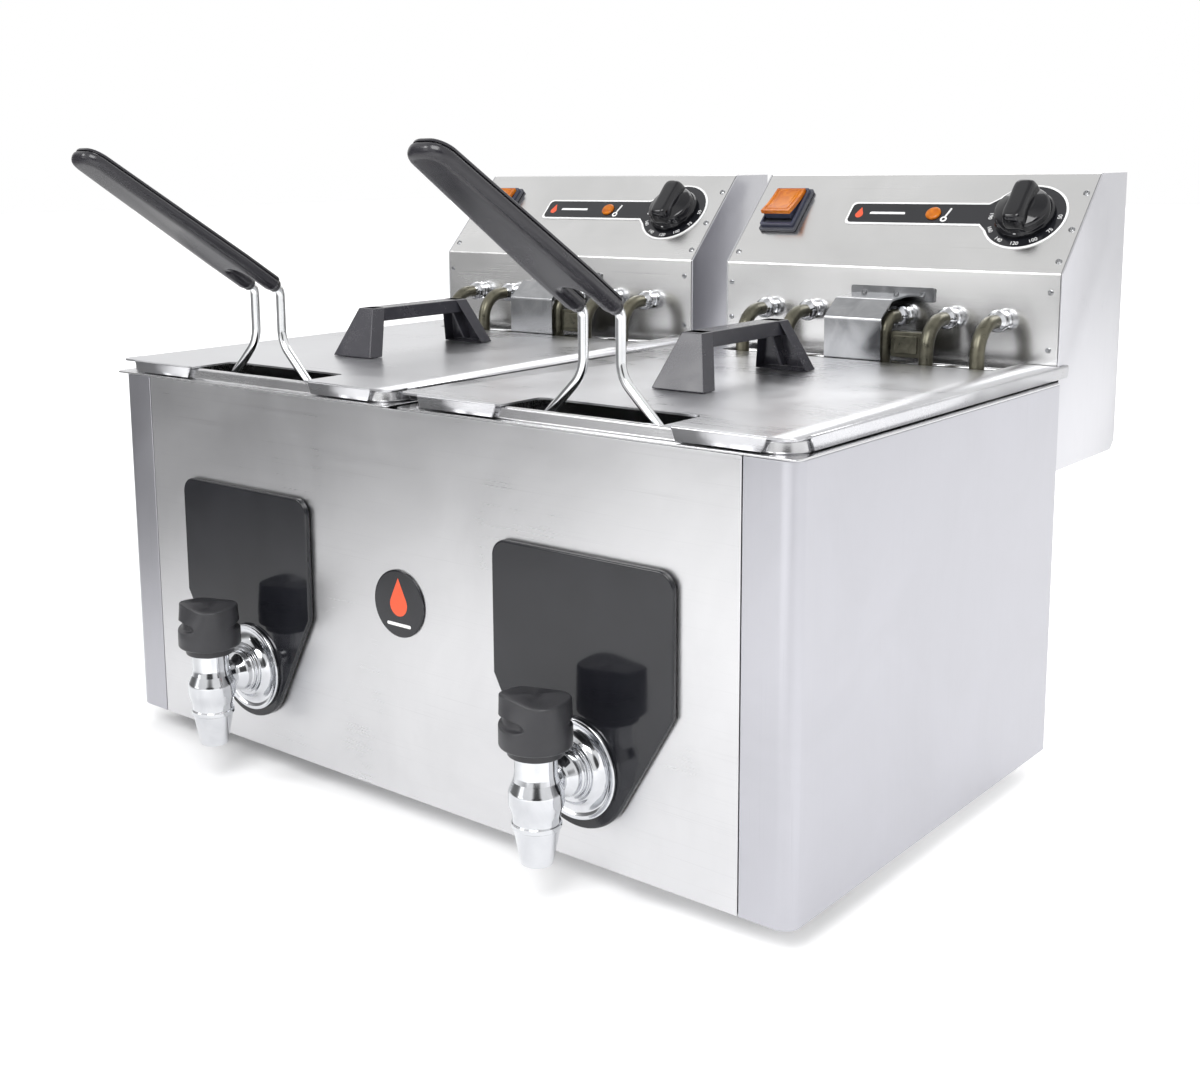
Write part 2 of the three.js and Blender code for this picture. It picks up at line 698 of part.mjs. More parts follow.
function dialLabel(x) {
  const { low, high, x0 } = STRIP;
  const [bottom, top] = [low - DIAL.s, high - DIAL.s];
  const left = x0 - DIAL.dx;
  const reach = (v) => Math.sqrt(DIAL.radius ** 2 - v ** 2);
  const shape = new THREE.Shape();
  const round = 4;
  shape.absarc(left + round, bottom + round, round, Math.PI, 1.5 * Math.PI);
  shape.lineTo(-reach(bottom), bottom);
  const from = Math.PI + Math.asin(-bottom / DIAL.radius);
  const to = 3 * Math.PI - Math.asin(top / DIAL.radius);
  shape.absarc(0, 0, DIAL.radius, from, to);
  shape.absarc(left + round, top - round, round, Math.PI / 2, Math.PI);
  const plate = slopePrism(shape, x + DIAL.dx, DIAL.s, GAP, GAP + 0.6, 14);
  return cut(plate, slopePrism(rectangle(4.5, 4.5), x + DIAL.dx, DIAL.s, -2, 4));
}

function thermostatKnob(x) {
  const skirt = [[0, 1.3], [20, 1.3], [20, 4], [18.4, 7], [17.4, 13], [16, 14.2], [0, 14.2]];
  const bar = rectangle(6.4, 18);
  const knob = join(
    slopeTurned(skirt, x + DIAL.dx, DIAL.s, 24),
    slopePrism(bar, x + DIAL.dx, DIAL.s, 5, 19.5),
  );
  return cut(knob, slopeTurned([[0, 0], [3.4, 0], [3.4, 12], [0, 12]], x + DIAL.dx, DIAL.s, 12));
}

function switchPieces(x, name) {
  const { dx, s, halfX, halfS, pivot, tilt } = SWITCH;
  const tiers = [
    slopePrism(rectangle(halfX, halfS), x + dx, s, GAP, 3),
    slopePrism(rectangle(halfX - 1.4, halfS - 2), x + dx, s, 2.5, 6.2),
    slopePrism(rectangle(halfX - 1.9, halfS - 3), x + dx, s, -18, 3),
  ];
  const well = slopePrism(rectangle(12.2, 15.6), x + dx, s, -12, 8);
  piece(`switch_bezel_${name}`, cut(join(...tiers), well), "satinBlack");
  // drawn in (along the slope, out of the slope) about the pivot, then tilted to its ON position
  const side = [[-14, 1], [-9, -8], [9, -8], [14, 1], [14, 9.4], [5, 8.6], [-5, 8.6], [-14, 9.4]];
  const geometry = new THREE.ExtrudeGeometry(outline(side), { depth: 23.6, bevelEnabled: false });
  const axes = [[0, 1, 0], [0, 0, 1], [1, 0, 0]].map((n) => new THREE.Vector3(...n));
  geometry.translate(0, 0, -11.8).applyMatrix4(new THREE.Matrix4().makeBasis(...axes));
  geometry.rotateX(-THREE.MathUtils.degToRad(tilt)).translate(0, 0, pivot);
  piece(`switch_rocker_${name}`, solid(toSlope(geometry, x + dx, s)), "amber");
}

function element(x, { half, front, drop, bend, turn }) {
  const inside = HEAD.front + 22;
  const corners = [
    [x - half, inside, GLAND.z],
    [x - half, drop, GLAND.z, bend],
    [x - half, drop, HEATER_Z, 18],
    [x - half, front, HEATER_Z, turn],
    [x + half, front, HEATER_Z, turn],
    [x + half, drop, HEATER_Z, 18],
    [x + half, drop, GLAND.z, bend],
    [x + half, inside, GLAND.z],
  ];
  const { z, radius, reach } = GLAND;
  const base = HEAD.front - GAP;
  const nose = base - reach;
  const dome = [
    [0, base],
    [radius, base],
    [radius, nose + 7],
    [radius - 0.9, nose + 3.4],
    [radius - 2.6, nose + 0.8],
    [TUBE - 0.5, nose],
    [0, nose],
  ];
  const glands = [-half, half].map((dx) => turnedY(dome, x + dx, z, 16));
  return join(tube(corners, TUBE, 4, 8), ...glands);
}

// A bent hood in front of the middle glands, riveted to the head through its top flange.
function elementGuard(x) {
  const y = 289.5;
  const wall = HEAD.front - GAP;
  const section = [
    [y, 196],
    [y, 278.5],
    [304, 290.6],
    [wall, 292.6],
    [wall, 291.3],
    [304.6, 289.4],
    [y + SHEET, 278],
    [y + SHEET, 196],
  ];
  const hood = prism("x", section, x - 21, x + 21);
  const flange = block([x - 22, x + 40], [wall - SHEET, wall], [288.2, 298]);
  return join(hood, flange);
}

function head({ name, sign }) {
  const x = sign * HEAD.x;
  const { bottom, front } = HEAD;
  piece(`head_housing_${name}`, housing(x), "satinSteel");
  piece(`head_fascia_${name}`, fascia(x), "satinSteel");
  for (const shape of ELEMENTS) {
    piece(`heating_element_${shape.name}_${name}`, element(x, shape), "sheath");
  }
  piece(`element_guard_${name}`, elementGuard(x), "brightSteel");
  piece(`dial_label_${name}`, dialLabel(x), "glossBlack");
  piece(`thermostat_knob_${name}`, thermostatKnob(x), "glossBlack");
  switchPieces(x, name);
  const lens = [[0, 1.2], [LAMP.radius, 1.2], [LAMP.radius, 1.9], [3.6, 2.6], [0, 2.8]];
  piece(`pilot_lamp_${name}`, slopeTurned(lens, x + LAMP.dx, LAMP.s, 20), "amber");

  const regulator = join(
    slopePrism(rectangle(17, 17), x + DIAL.dx, DIAL.s, -28, -1.2 - SHEET),
    slopeTurned([[0, -4], [3, -4], [3, 11], [0, 11]], x + DIAL.dx, DIAL.s, 12),
  );
  piece(`thermostat_body_${name}`, regulator, "bakelite");
  const cutOut = block([x - 90, x - 60], [front + 45, front + 75], [232, 262]);
  piece(`safety_thermostat_${name}`, cutOut, "bakelite");
  const terminals = block([x + 5, x + 75], [front + 12, front + 34], [200, 220]);
  piece(`terminal_block_${name}`, terminals, "bakelite");
  const gland = [
    [0, bottom - 18],
    [8, bottom - 18],
    [10.5, bottom - 13],
    [11.5, bottom - 8],
    [11.5, bottom - GAP],
    [8, bottom - GAP],
    [8, bottom + 9],
    [0, bottom + 9],
  ];
  piece(`cable_gland_${name}`, turnedZ(gland, x + 60, 400, 16), "satinBlack");
}

cabinet();
for (const side of SIDES) {
  tank(side);
  tap(side);
  lid(side);
  basket(side);
  head(side);
}

// stand the fryer on z = 0 with its origin under the middle of its box
const box = new THREE.Box3().setFromObject(fryer);
const middle = box.getCenter(new THREE.Vector3());
fryer.position.set(-middle.x, -middle.y, -box.min.z);

export default fryer;
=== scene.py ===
"""The looks of a twin-tank countertop deep fryer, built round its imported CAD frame.

Shapes are drawn in fryer millimetres: x from the middle, y from the front panel's face and
z from the cabinet's lower edge. piece() turns them into metres in the frame.
"""

import json
import math

import bmesh
import bpy
from mathutils import Matrix, Vector

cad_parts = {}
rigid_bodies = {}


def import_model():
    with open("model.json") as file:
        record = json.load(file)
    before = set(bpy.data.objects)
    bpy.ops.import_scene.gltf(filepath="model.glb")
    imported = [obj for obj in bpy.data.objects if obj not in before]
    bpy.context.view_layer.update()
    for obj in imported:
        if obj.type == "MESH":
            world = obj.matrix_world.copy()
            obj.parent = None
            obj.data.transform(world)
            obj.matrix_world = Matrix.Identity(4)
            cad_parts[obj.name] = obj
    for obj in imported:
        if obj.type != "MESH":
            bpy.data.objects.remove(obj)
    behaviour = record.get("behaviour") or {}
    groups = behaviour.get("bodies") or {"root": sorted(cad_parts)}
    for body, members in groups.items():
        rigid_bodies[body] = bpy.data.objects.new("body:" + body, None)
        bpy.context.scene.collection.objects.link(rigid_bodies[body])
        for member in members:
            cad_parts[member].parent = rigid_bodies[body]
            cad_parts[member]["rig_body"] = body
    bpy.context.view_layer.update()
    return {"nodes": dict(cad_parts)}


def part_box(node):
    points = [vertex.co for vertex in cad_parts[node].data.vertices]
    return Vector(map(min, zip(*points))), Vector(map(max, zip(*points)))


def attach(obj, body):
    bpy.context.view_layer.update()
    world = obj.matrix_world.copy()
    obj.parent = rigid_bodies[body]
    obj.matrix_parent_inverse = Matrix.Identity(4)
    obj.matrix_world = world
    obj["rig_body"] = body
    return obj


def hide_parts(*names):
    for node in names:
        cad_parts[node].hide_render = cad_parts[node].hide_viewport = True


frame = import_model()

MM = 0.001
panel_low, panel_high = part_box("front_panel")
ORIGIN = Vector(((panel_low.x + panel_high.x) / 2, panel_low.y, panel_low.z))
TO_FRAME = Matrix.Translation(ORIGIN) @ Matrix.Scale(MM, 4)
BODY_OF = {name: node["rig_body"] for name, node in frame["nodes"].items()}


def place_of(node):
    """A CAD node's lowest and highest corners, in fryer millimetres."""
    return [(corner - ORIGIN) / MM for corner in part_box(node)]


# ---- driving dimensions ----
SHEET = 1.2
GAP = 0.3
SIDES = ("left", "right")
CABINET = {"half": 272.5, "depth": 318, "height": 241.5, "corner": 9.5, "seam": 241.6}
TAP = {"x": 138.3, "z": 56, "y": -37.4}
TAP_PLATE = {"top": 176.5, "half": 62.5, "taper_z": 98, "round_shift": -1.5, "round": 34.5}
LID = {"flange": 7.9, "corner": 7, "corner_cut": 16, "bend": 1.4, "rear": 327}
SLOT = {"x": 137.5, "half": 56, "rear": 36.5, "corner": 4, "gap": 4}
NOTCH = {"half": 101.5, "front": 285}
HEAD = {"x": 141, "front": 329.1, "bend": 310.3, "crest": 389.8, "top": 372.5, "back": 432.8}
DIAL = {"dx": 85.9, "s": 47.6, "radius": 28.1}
STRIP = {"x0": -45, "low": 39, "high": 59.4}
LAMP = {"dx": 20.5, "s": 48.8}
SWITCH = {"dx": -96, "s": 50, "pivot": 2, "tilt": 12}
WIRE = {"radius": 2.9, "y": 21, "spread": 12.8, "foot_spread": 52, "top": 305.5}
GRIP = {"y": 17.8, "z": 307.5, "pitch": 32.8, "length": 157, "prong": 6, "tip": 11, "tip_half": 13.6}
ELEMENTS = {
    "outer": {"half": 87.5, "front": 42, "drop": 292, "bend": 20, "turn": 30},
    "middle": {"half": 52.5, "front": 76, "drop": 292, "bend": 20, "turn": 26},
    "inner": {"half": 17.5, "front": 110, "drop": 301, "bend": 12, "turn": 17},
}
TUBE = 4.7
GLAND_Z = 279
HEATER_Z = 66

# ---- mesh kit ----


def basis(u, v, w, at=(0, 0, 0)):
    """Local axes u, v and w, standing at a point."""
    return Matrix.Translation(Vector(at)) @ Matrix((u, v, w)).transposed().to_4x4()


def upright(x, y, z=0):
    return Matrix.Translation(Vector((x, y, z)))


def forward(x, z, y=0):
    """Local z points out of the fryer's front."""
    return basis((1, 0, 0), (0, 0, 1), (0, -1, 0), (x, y, z))


def sideways(x=0):
    """Outlines drawn in (y, z), extruded along x."""
    return basis((0, 1, 0), (0, 0, 1), (1, 0, 0), (x, 0, 0))


RISE = Vector((0, HEAD["crest"] - HEAD["front"], HEAD["top"] - HEAD["bend"])).normalized()


def slope(x, s):
    """Local x is left to right, y runs up the control slope and z out of it."""
    foot = Vector((x, HEAD["front"], HEAD["bend"])) + RISE * s
    right = Vector((1, 0, 0))
    return basis(right, RISE, right.cross(RISE), foot)


def rounded(corners, steps=6, closed=True, dims=2):
    """Corner points as a line; a number after a corner's coordinates is its bend radius."""
    points = [Vector(c[:dims]).to_3d() if dims == 2 else Vector(c[:3]) for c in corners]
    line = []
    count = len(points)
    for i, corner in enumerate(corners):
        here = points[i]
        is_end = not closed and i in (0, count - 1)
        if len(corner) == dims or is_end:
            line.append(here)
            continue
        back = (points[i - 1] - here).normalized()
        on = (points[(i + 1) % count] - here).normalized()
        half = back.angle(on) / 2
        radius = corner[dims]
        middle = here + (back + on).normalized() * (radius / math.sin(half))
        start = here + back * (radius / math.tan(half)) - middle
        end = here + on * (radius / math.tan(half)) - middle
        sweep_angle = start.angle(end)
        for k in range(steps + 1):
            one, two = (steps - k) * sweep_angle / steps, k * sweep_angle / steps
            spoke = (start * math.sin(one) + end * math.sin(two)) / math.sin(sweep_angle)
            line.append(middle + spoke)
    return [(p.x, p.y) for p in line] if dims == 2 else line


def arc(radius, start, stop, steps, middle=(0, 0)):
    """Points round a middle, from one angle to another."""
    turns = [start + (stop - start) * k / steps for k in range(steps + 1)]
    return [(middle[0] + radius * math.cos(a), middle[1] + radius * math.sin(a)) for a in turns]


def oblong(half_u, half_v, radius):
    """A rounded rectangle about a middle."""
    corners = [(half_u, -half_v, radius), (half_u, half_v, radius),
               (-half_u, half_v, radius), (-half_u, -half_v, radius)]
    return rounded(corners, 5)


def squircle(half_u, half_v, power, count):
    """A closed oval; the lower the power, the squarer it is."""
    points = []
    for k in range(count):
        c, s = math.cos(2 * math.pi * k / count), math.sin(2 * math.pi * k / count)
        points.append((half_u * math.copysign(abs(c) ** power, c),
                       half_v * math.copysign(abs(s) ** power, s)))
    return points


def loft(bm, rings, closed_rings=True, closed_loft=False, caps=True):
    """Faces between rings of points, each as long as the first."""
    made = [[bm.verts.new(p) for p in ring] for ring in rings]
    count = len(made[0])
    pairs = list(zip(made, made[1:])) + ([(made[-1], made[0])] if closed_loft else [])
    for one, two in pairs:
        for k in range(count if closed_rings else count - 1):
            j = (k + 1) % count
            bm.faces.new((one[k], one[j], two[j], two[k]))
    if caps and not closed_loft:
        bm.faces.new(made[0][::-1])
        bm.faces.new(made[-1])


def lathe(bm, profile, place, segments=64):
    """A profile of (radius, height) turned about the local z axis."""
    rings = []
    for k in range(segments):
        a = 2 * math.pi * k / segments
        spoke = Vector((math.cos(a), math.sin(a), 0))
        rings.append([place @ (spoke * r + Vector((0, 0, h))) for r, h in profile])
    loft(bm, rings, closed_rings=False, closed_loft=True)


def turned(bm, profile, place, segments, steps=5):
    """A lathe of a profile whose corners may have a bend radius."""
    lathe(bm, rounded(profile, steps, closed=False), place, segments)


def prism(bm, outline, place, low, high):
    rings = [[place @ Vector((u, v, w)) for u, v in outline] for w in (low, high)]
    loft(bm, rings)


def box(bm, x, y, z, place=Matrix()):
    prism(bm, [(x[0], y[0]), (x[1], y[0]), (x[1], y[1]), (x[0], y[1])], place, *z)


def sweep(bm, points, radius, sides=16, closed=False):
    """A round rod along a line of points."""
    count = len(points)
    rings = []
    side = None
    for i, p in enumerate(points):
        before = points[i - 1] if closed or i else p
        after = points[(i + 1) % count] if closed or i < count - 1 else p
        into = (p - before).normalized() if before != p else (after - p).normalized()
        out = (after - p).normalized() if after != p else into
        along = (into + out).normalized()
        if side is None:
            side = along.orthogonal().normalized()
        side = (side - along * side.dot(along)).normalized()
        other = along.cross(side)
        turns = [2 * math.pi * k / sides for k in range(sides)]
        rings.append([p + side * radius * math.cos(a) + other * radius * math.sin(a) for a in turns])
    loft(bm, rings, closed_loft=closed)


def ring_points(x0, x1, y0, y1, radius, z, steps=10):
    """A rounded rectangle of points at height z."""
    points = []
    for quarter in range(4):
        cx = x1 - radius if quarter in (0, 3) else x0 + radius
        cy = y1 - radius if quarter < 2 else y0 + radius
        for k in range(steps + 1):
            a = (quarter + k / steps) * math.pi / 2
            points.append(Vector((cx + radius * math.cos(a), cy + radius * math.sin(a), z)))
    return points


def pan(bm, bounds, corner, profile, steps=10):
    """A profile of (inset, z) led round a rounded rectangle; corner(inset) is its radius there."""
    x0, x1, y0, y1 = bounds
    rings = [
        ring_points(x0 + i, x1 - i, y0 + i, y1 - i, corner(i), z, steps) for i, z in profile
    ]
    loft(bm, rings)


def shown(name, data):
    """A new object in the scene."""
    made = bpy.data.objects.new(name, data)
    bpy.context.scene.collection.objects.link(made)
    return made


def piece(name, bm, finish, nodes=(), body=None, slot=None, bevel=0.0, steps=2, crease=38, skip=None):
    """Makes a mesh drawn in fryer millimetres a piece of the fryer, in place of its CAD nodes."""
    bmesh.ops.remove_doubles(bm, verts=bm.verts, dist=1e-3)
    bmesh.ops.recalc_face_normals(bm, faces=bm.faces)
    sharp = math.radians(crease if not bevel else 180)
    for face in bm.faces:
        face.smooth = True
    for edge in bm.edges:
        edge.smooth = len(edge.link_faces) == 2 and edge.calc_face_angle() < sharp
    if skip:
        weights = bm.edges.layers.float.new("bevel_weight_edge")
        for edge in bm.edges:
            middle = (edge.verts[0].co + edge.verts[1].co) / 2
            turned = len(edge.link_faces) == 2 and edge.calc_face_angle() > math.radians(30)
            edge[weights] = float(turned and not skip(middle))
    bm.transform(TO_FRAME)
    mesh = bpy.data.meshes.new(name)
    bm.to_mesh(mesh)
    bm.free()
    made = shown(name, mesh)
    mesh.materials.append(finish)
    if bevel:
        edge = made.modifiers.new("edges", "BEVEL")
        edge.width = bevel * MM
        edge.segments = steps
        edge.limit_method = "WEIGHT" if skip else "ANGLE"
        edge.angle_limit = math.radians(30)
        edge.harden_normals = True
    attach(made, body or BODY_OF[nodes[0]])
    if nodes:
        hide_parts(*nodes)
    return made


def stand_in(node, suffix, bm, finish, slot, **edges):
    """A piece in place of one CAD node."""
    return piece(f"{node}_{suffix}", bm, finish, [node], slot=slot, **edges)


def refined(node, finish, slot, bevel=0.25):
    """The CAD node's own flat-sided shape, with its edges eased."""
    bm = bmesh.new()
    bm.from_mesh(frame["nodes"][node].data)
    bmesh.ops.remove_doubles(bm, verts=bm.verts, dist=1e-6)
    flat = math.radians(0.5)
    bmesh.ops.dissolve_limit(bm, angle_limit=flat, verts=bm.verts, edges=bm.edges)
    bm.transform(TO_FRAME.inverted())
    return stand_in(node, "eased", bm, finish, slot, bevel=bevel)


# ---- materials ----


def add(tree, kind, inputs, **settings):
    """A shader node; each input gets a value, or is linked to the output given for it."""
    node = tree.nodes.new(f"ShaderNode{kind}")
    for name, value in settings.items():
        setattr(node, name, value)
    for socket, value in inputs.items():
        if isinstance(value, bpy.types.NodeSocket):
            tree.links.new(value, node.inputs[socket])
        else:
            node.inputs[socket].default_value = value
    return node


def dot(tree, place, direction):
    """How far a place lies along a direction."""
    node = add(tree, "VectorMath", {0: place, 1: direction}, operation="DOT_PRODUCT")
    return node.outputs["Value"]


class Surface:
    """A node material round one Principled shader, in the object's own coordinates."""

    def __init__(self, name, colour, roughness, metallic=0.0, **sockets):
        self.material = bpy.data.materials.new(name)
        self.material.use_nodes = True
        self.tree = self.material.node_tree
        self.tree.nodes.clear()
        output = self.tree.nodes.new("ShaderNodeOutputMaterial")
        self.shader = self.tree.nodes.new("ShaderNodeBsdfPrincipled")
        self.tree.links.new(self.shader.outputs["BSDF"], output.inputs["Surface"])
        self.place = self.tree.nodes.new("ShaderNodeTexCoord").outputs["Object"]
        self.shader.inputs["Base Color"].default_value = (*colour, 1)
        self.shader.inputs["Roughness"].default_value = roughness
        self.shader.inputs["Metallic"].default_value = metallic
        for socket, value in sockets.items():
            self.shader.inputs[socket.replace("_", " ")].default_value = value

    def noise(self, scale, detail=3.0, roughness=0.5, distortion=0.0):
        """Noise with `scale` waves a metre along each axis."""
        along = scale if hasattr(scale, "__len__") else (scale,) * 3
        mapping = add(self.tree, "Mapping", {"Vector": self.place, "Scale": along})
        inputs = {"Vector": mapping.outputs["Vector"], "Scale": 1.0, "Detail": detail,
                  "Roughness": roughness, "Distortion": distortion}
        return add(self.tree, "TexNoise", inputs).outputs["Fac"]

    def spread(self, fac, low, high, start=0.3, end=0.7):
        inputs = {"Value": fac, "From Min": start, "From Max": end, "To Min": low, "To Max": high}
        return add(self.tree, "MapRange", inputs).outputs["Result"]

    def mixed(self, fac, one, two, start=0.3, end=0.7):
        """A colour between one and two, as fac goes from start to end."""
        one, two = ((*colour, 1) if isinstance(colour, tuple) else colour for colour in (one, two))
        inputs = {"Factor": self.spread(fac, 0, 1, start, end), 6: one, 7: two}
        return add(self.tree, "Mix", inputs, data_type="RGBA").outputs[2]

    def product(self, one, two, operation="MULTIPLY"):
        return add(self.tree, "Math", {0: one, 1: two}, operation=operation).outputs[0]

    def colour(self, socket):
        self.tree.links.new(socket, self.shader.inputs["Base Color"])

    def rough(self, socket):
        self.tree.links.new(socket, self.shader.inputs["Roughness"])

    def bump(self, height, strength, depth):
        """Relief of `depth` millimetres."""
        node = add(self.tree, "Bump", {"Height": height, "Strength": strength, "Distance": depth * MM})
        self.tree.links.new(node.outputs["Normal"], self.shader.inputs["Normal"])


def brushed_steel(name, dark, light, roughness, grain, relief=0.012):
    """Brushed stainless: long scratches along the grain axis, and cloudy wiping marks."""
    surface = Surface(name, light, roughness[0], 1.0)
    along, across = 9.0, 950.0
    lines = surface.noise([along if axis == grain else across for axis in "xyz"], 4.0, 0.65)
    fine = surface.noise([along * 3 if axis == grain else across * 3 for axis in "xyz"], 2.0)
    clouds = surface.noise(9.0, 4.0, 0.6, 0.6)
    tone = surface.mixed(clouds, dark, light, 0.3, 0.72)
    surface.colour(surface.mixed(lines, tuple(0.94 * c for c in dark), tone, 0.1, 0.42))
    worn = surface.spread(clouds, roughness[0], roughness[1])
    streaked = surface.spread(lines, 0.92, 1.08)
    surface.rough(surface.product(worn, streaked))
    surface.bump(surface.product(lines, fine, "ADD"), 0.2, relief)
    return surface.material


def polished(name, dark, light, roughness):
    """Polished or plated metal with faint wiping marks."""
    surface = Surface(name, light, roughness[0], 1.0)
    marks = surface.noise(45.0, 4.0, 0.6, 0.8)
    surface.colour(surface.mixed(marks, dark, light))
    surface.rough(surface.spread(marks, roughness[0], roughness[1]))
    surface.bump(surface.noise(160.0, 2.0), 0.06, 0.02)
    return surface.material


def moulded(name, dark, light, roughness, texture, relief):
    """Moulded plastic or rubber: a fine leathery skin and a slightly uneven gloss."""
    surface = Surface(name, light, roughness[0])
    handling = surface.noise(28.0, 4.0, 0.6, 0.5)
    skin = surface.noise(texture, 3.0, 0.6)
    surface.colour(surface.mixed(handling, dark, light))
    uneven = surface.spread(handling, roughness[0], roughness[1])
    surface.rough(surface.product(uneven, surface.spread(skin, 0.9, 1.1)))
    surface.bump(skin, 0.5, relief)
    return surface.material


def sheath_metal():
    """Heater sheath: steel browned to olive by heat, with a darker mottle."""
    surface = Surface("heater_sheath", (0.16, 0.15, 0.10), 0.32, 0.75)
    mottle = surface.noise(130.0, 5.0, 0.65, 0.4)
    heat = surface.noise(14.0, 2.0)
    oxide = surface.mixed(mottle, (0.065, 0.062, 0.046), (0.15, 0.144, 0.108))
    surface.colour(surface.mixed(heat, oxide, (0.18, 0.168, 0.12), 0.45, 0.8))
    surface.rough(surface.spread(mottle, 0.24, 0.42))
    surface.bump(mottle, 0.3, 0.03)
    return surface.material


def amber_lens():
    """Lit amber plastic: clear, with streaks of deeper colour and a ribbed inner face."""
    surface = Surface(
        "amber_lens", (0.8, 0.2, 0.01), 0.22, 0.0, Emission_Strength=0.03, Specular_IOR_Level=0.3,
    )
    surface.shader.inputs["Emission Color"].default_value = (1.0, 0.25, 0.01, 1)
    streaks = surface.noise(110.0, 3.0, 0.5, 1.2)
    surface.colour(surface.mixed(streaks, (0.36, 0.075, 0.002), (0.56, 0.17, 0.005)))
    surface.rough(surface.spread(streaks, 0.16, 0.28))
    surface.bump(surface.noise((900, 150, 150), 1.0), 0.3, 0.08)
    return surface.material


def print_ink(name, colour):
    """Printed ink: slightly thin in places."""
    surface = Surface(name, colour, 0.35)
    speckle = surface.noise(700.0, 3.0)
    surface.colour(surface.mixed(speckle, tuple(0.86 * c for c in colour), colour, 0.25, 0.5))
    surface.rough(surface.spread(speckle, 0.3, 0.42))
    return surface.material


def brown_resin():
    """Pressed brown resin of the parts inside the heads."""
    surface = Surface("brown_resin", (0.12, 0.05, 0.025), 0.45)
    swirl = surface.noise(70.0, 5.0, 0.65, 2.0)
    surface.colour(surface.mixed(swirl, (0.07, 0.028, 0.014), (0.17, 0.075, 0.04)))
    surface.rough(surface.spread(swirl, 0.35, 0.55))
    surface.bump(swirl, 0.2, 0.03)
    return surface.material


FRONT_STEEL = brushed_steel("front_steel", (0.60, 0.60, 0.61), (0.68, 0.68, 0.69), (0.27, 0.34), "x")
# Painted shade: the side panels take a darker copy of the front panel's brushed steel, standing in for the
# shade on the cabinet's sides.
SIDE_STEEL_PAINTED_SHADE = brushed_steel("side_steel_painted_shade", (0.45, 0.45, 0.48), (0.50, 0.50, 0.535), (0.30, 0.38), "z")
HOUSING_STEEL = brushed_steel("housing_steel", (0.55, 0.55, 0.575), (0.61, 0.61, 0.635), (0.28, 0.36), "z")
LID_STEEL = brushed_steel("lid_steel", (0.56, 0.56, 0.58), (0.66, 0.665, 0.68), (0.25, 0.36), "x", 0.008)
SLOPE_STEEL = brushed_steel(
    "head_steel", (0.63, 0.628, 0.625), (0.71, 0.708, 0.705), (0.18, 0.28), "x", 0.006)
TANK_STEEL = brushed_steel("tank_steel", (0.58, 0.58, 0.59), (0.68, 0.68, 0.69), (0.2, 0.3), "x")
# Painted shade: this steel is darkened well below the other steels, standing in for shade on the element
# guards and dulling the highlights of the head screws.
GUARD_STEEL_PAINTED_SHADE = polished("guard_steel_painted_shade", (0.29, 0.295, 0.305), (0.38, 0.385, 0.395), (0.12, 0.22))
CHROME = polished("chrome_plate", (0.58, 0.59, 0.615), (0.70, 0.71, 0.73), (0.05, 0.12))
WIRE_CHROME = polished("wire_chrome", (0.70, 0.71, 0.72), (0.82, 0.83, 0.84), (0.08, 0.16))
SHEATH = sheath_metal()
GLOSS_BLACK = moulded(
    "gloss_black", (0.008, 0.0085, 0.011), (0.014, 0.0145, 0.018), (0.05, 0.12), 500.0, 0.004)
KNOB_BLACK = moulded("knob_black", (0.004, 0.004, 0.0055), (0.008, 0.008, 0.01), (0.05, 0.1), 900.0, 0.005)
GRIP_BLACK = moulded("grip_black", (0.014, 0.0135, 0.017), (0.024, 0.023, 0.028), (0.16, 0.28), 900.0, 0.012)
SATIN_BLACK = moulded("satin_black", (0.02, 0.02, 0.023), (0.034, 0.034, 0.038), (0.34, 0.46), 1400.0, 0.03)
SLATE = moulded("slate_plastic", (0.027, 0.0265, 0.034), (0.04, 0.039, 0.048), (0.18, 0.3), 1100.0, 0.015)
RUBBER = moulded("foot_rubber", (0.012, 0.012, 0.012), (0.025, 0.025, 0.025), (0.7, 0.9), 1200.0, 0.06)
AMBER = amber_lens()
BLUE_BLACK = moulded("blue_black", (0.035, 0.038, 0.065), (0.055, 0.06, 0.095), (0.1, 0.2), 700.0, 0.008)
BEZEL = moulded("bezel_plastic", (0.05, 0.052, 0.065), (0.075, 0.078, 0.095), (0.2, 0.3), 900.0, 0.012)
WHITE_INK = print_ink("white_ink", (0.86, 0.86, 0.86))
ORANGE_INK = print_ink("orange_ink", (0.75, 0.09, 0.03))
RESIN = brown_resin()

# ---- cabinet ----


def side_panel(side, sign):
    half, depth, corner = CABINET["half"], CABINET["depth"], CABINET["corner"]
    inner = half - SHEET
    outline = [
        (CABINET["seam"], 0),
        (half, 0, corner),
        (half, depth),
        (inner, depth),
        (inner, SHEET, corner - SHEET),
        (CABINET["seam"], SHEET),
    ]
    bm = bmesh.new()
    points = [(sign * x, y) for x, y in rounded(outline, 20)]
    prism(bm, points, Matrix(), 0, CABINET["height"])
    stand_in(f"side_panel_{side}", "folded", bm, SIDE_STEEL_PAINTED_SHADE, "satin_steel", bevel=0.45)


def foot(node):
    low, high = place_of(node)
    middle = (low + high) / 2
    profile = [
        (0, low.z), (11, low.z), (13.2, low.z, 1.2), (14, low.z + 5, 2), (13.4, low.z + 7.6, 0.6),
        (15, low.z + 9.4, 1), (15, high.z, 0.6), (0, high.z),
    ]
    bm = bmesh.new()
    turned(bm, profile, upright(middle.x, middle.y), 48, 4)
    piece(f"{node}_rubber", bm, RUBBER, [node], slot="rubber")


def drop(radius, count=28):
    """The outline of a drop of oil with its point up."""
    tip = 2.3 * radius
    touch = math.asin(radius / tip)
    return arc(radius, math.pi - touch, 2 * math.pi + touch, count) + [(0, tip)]


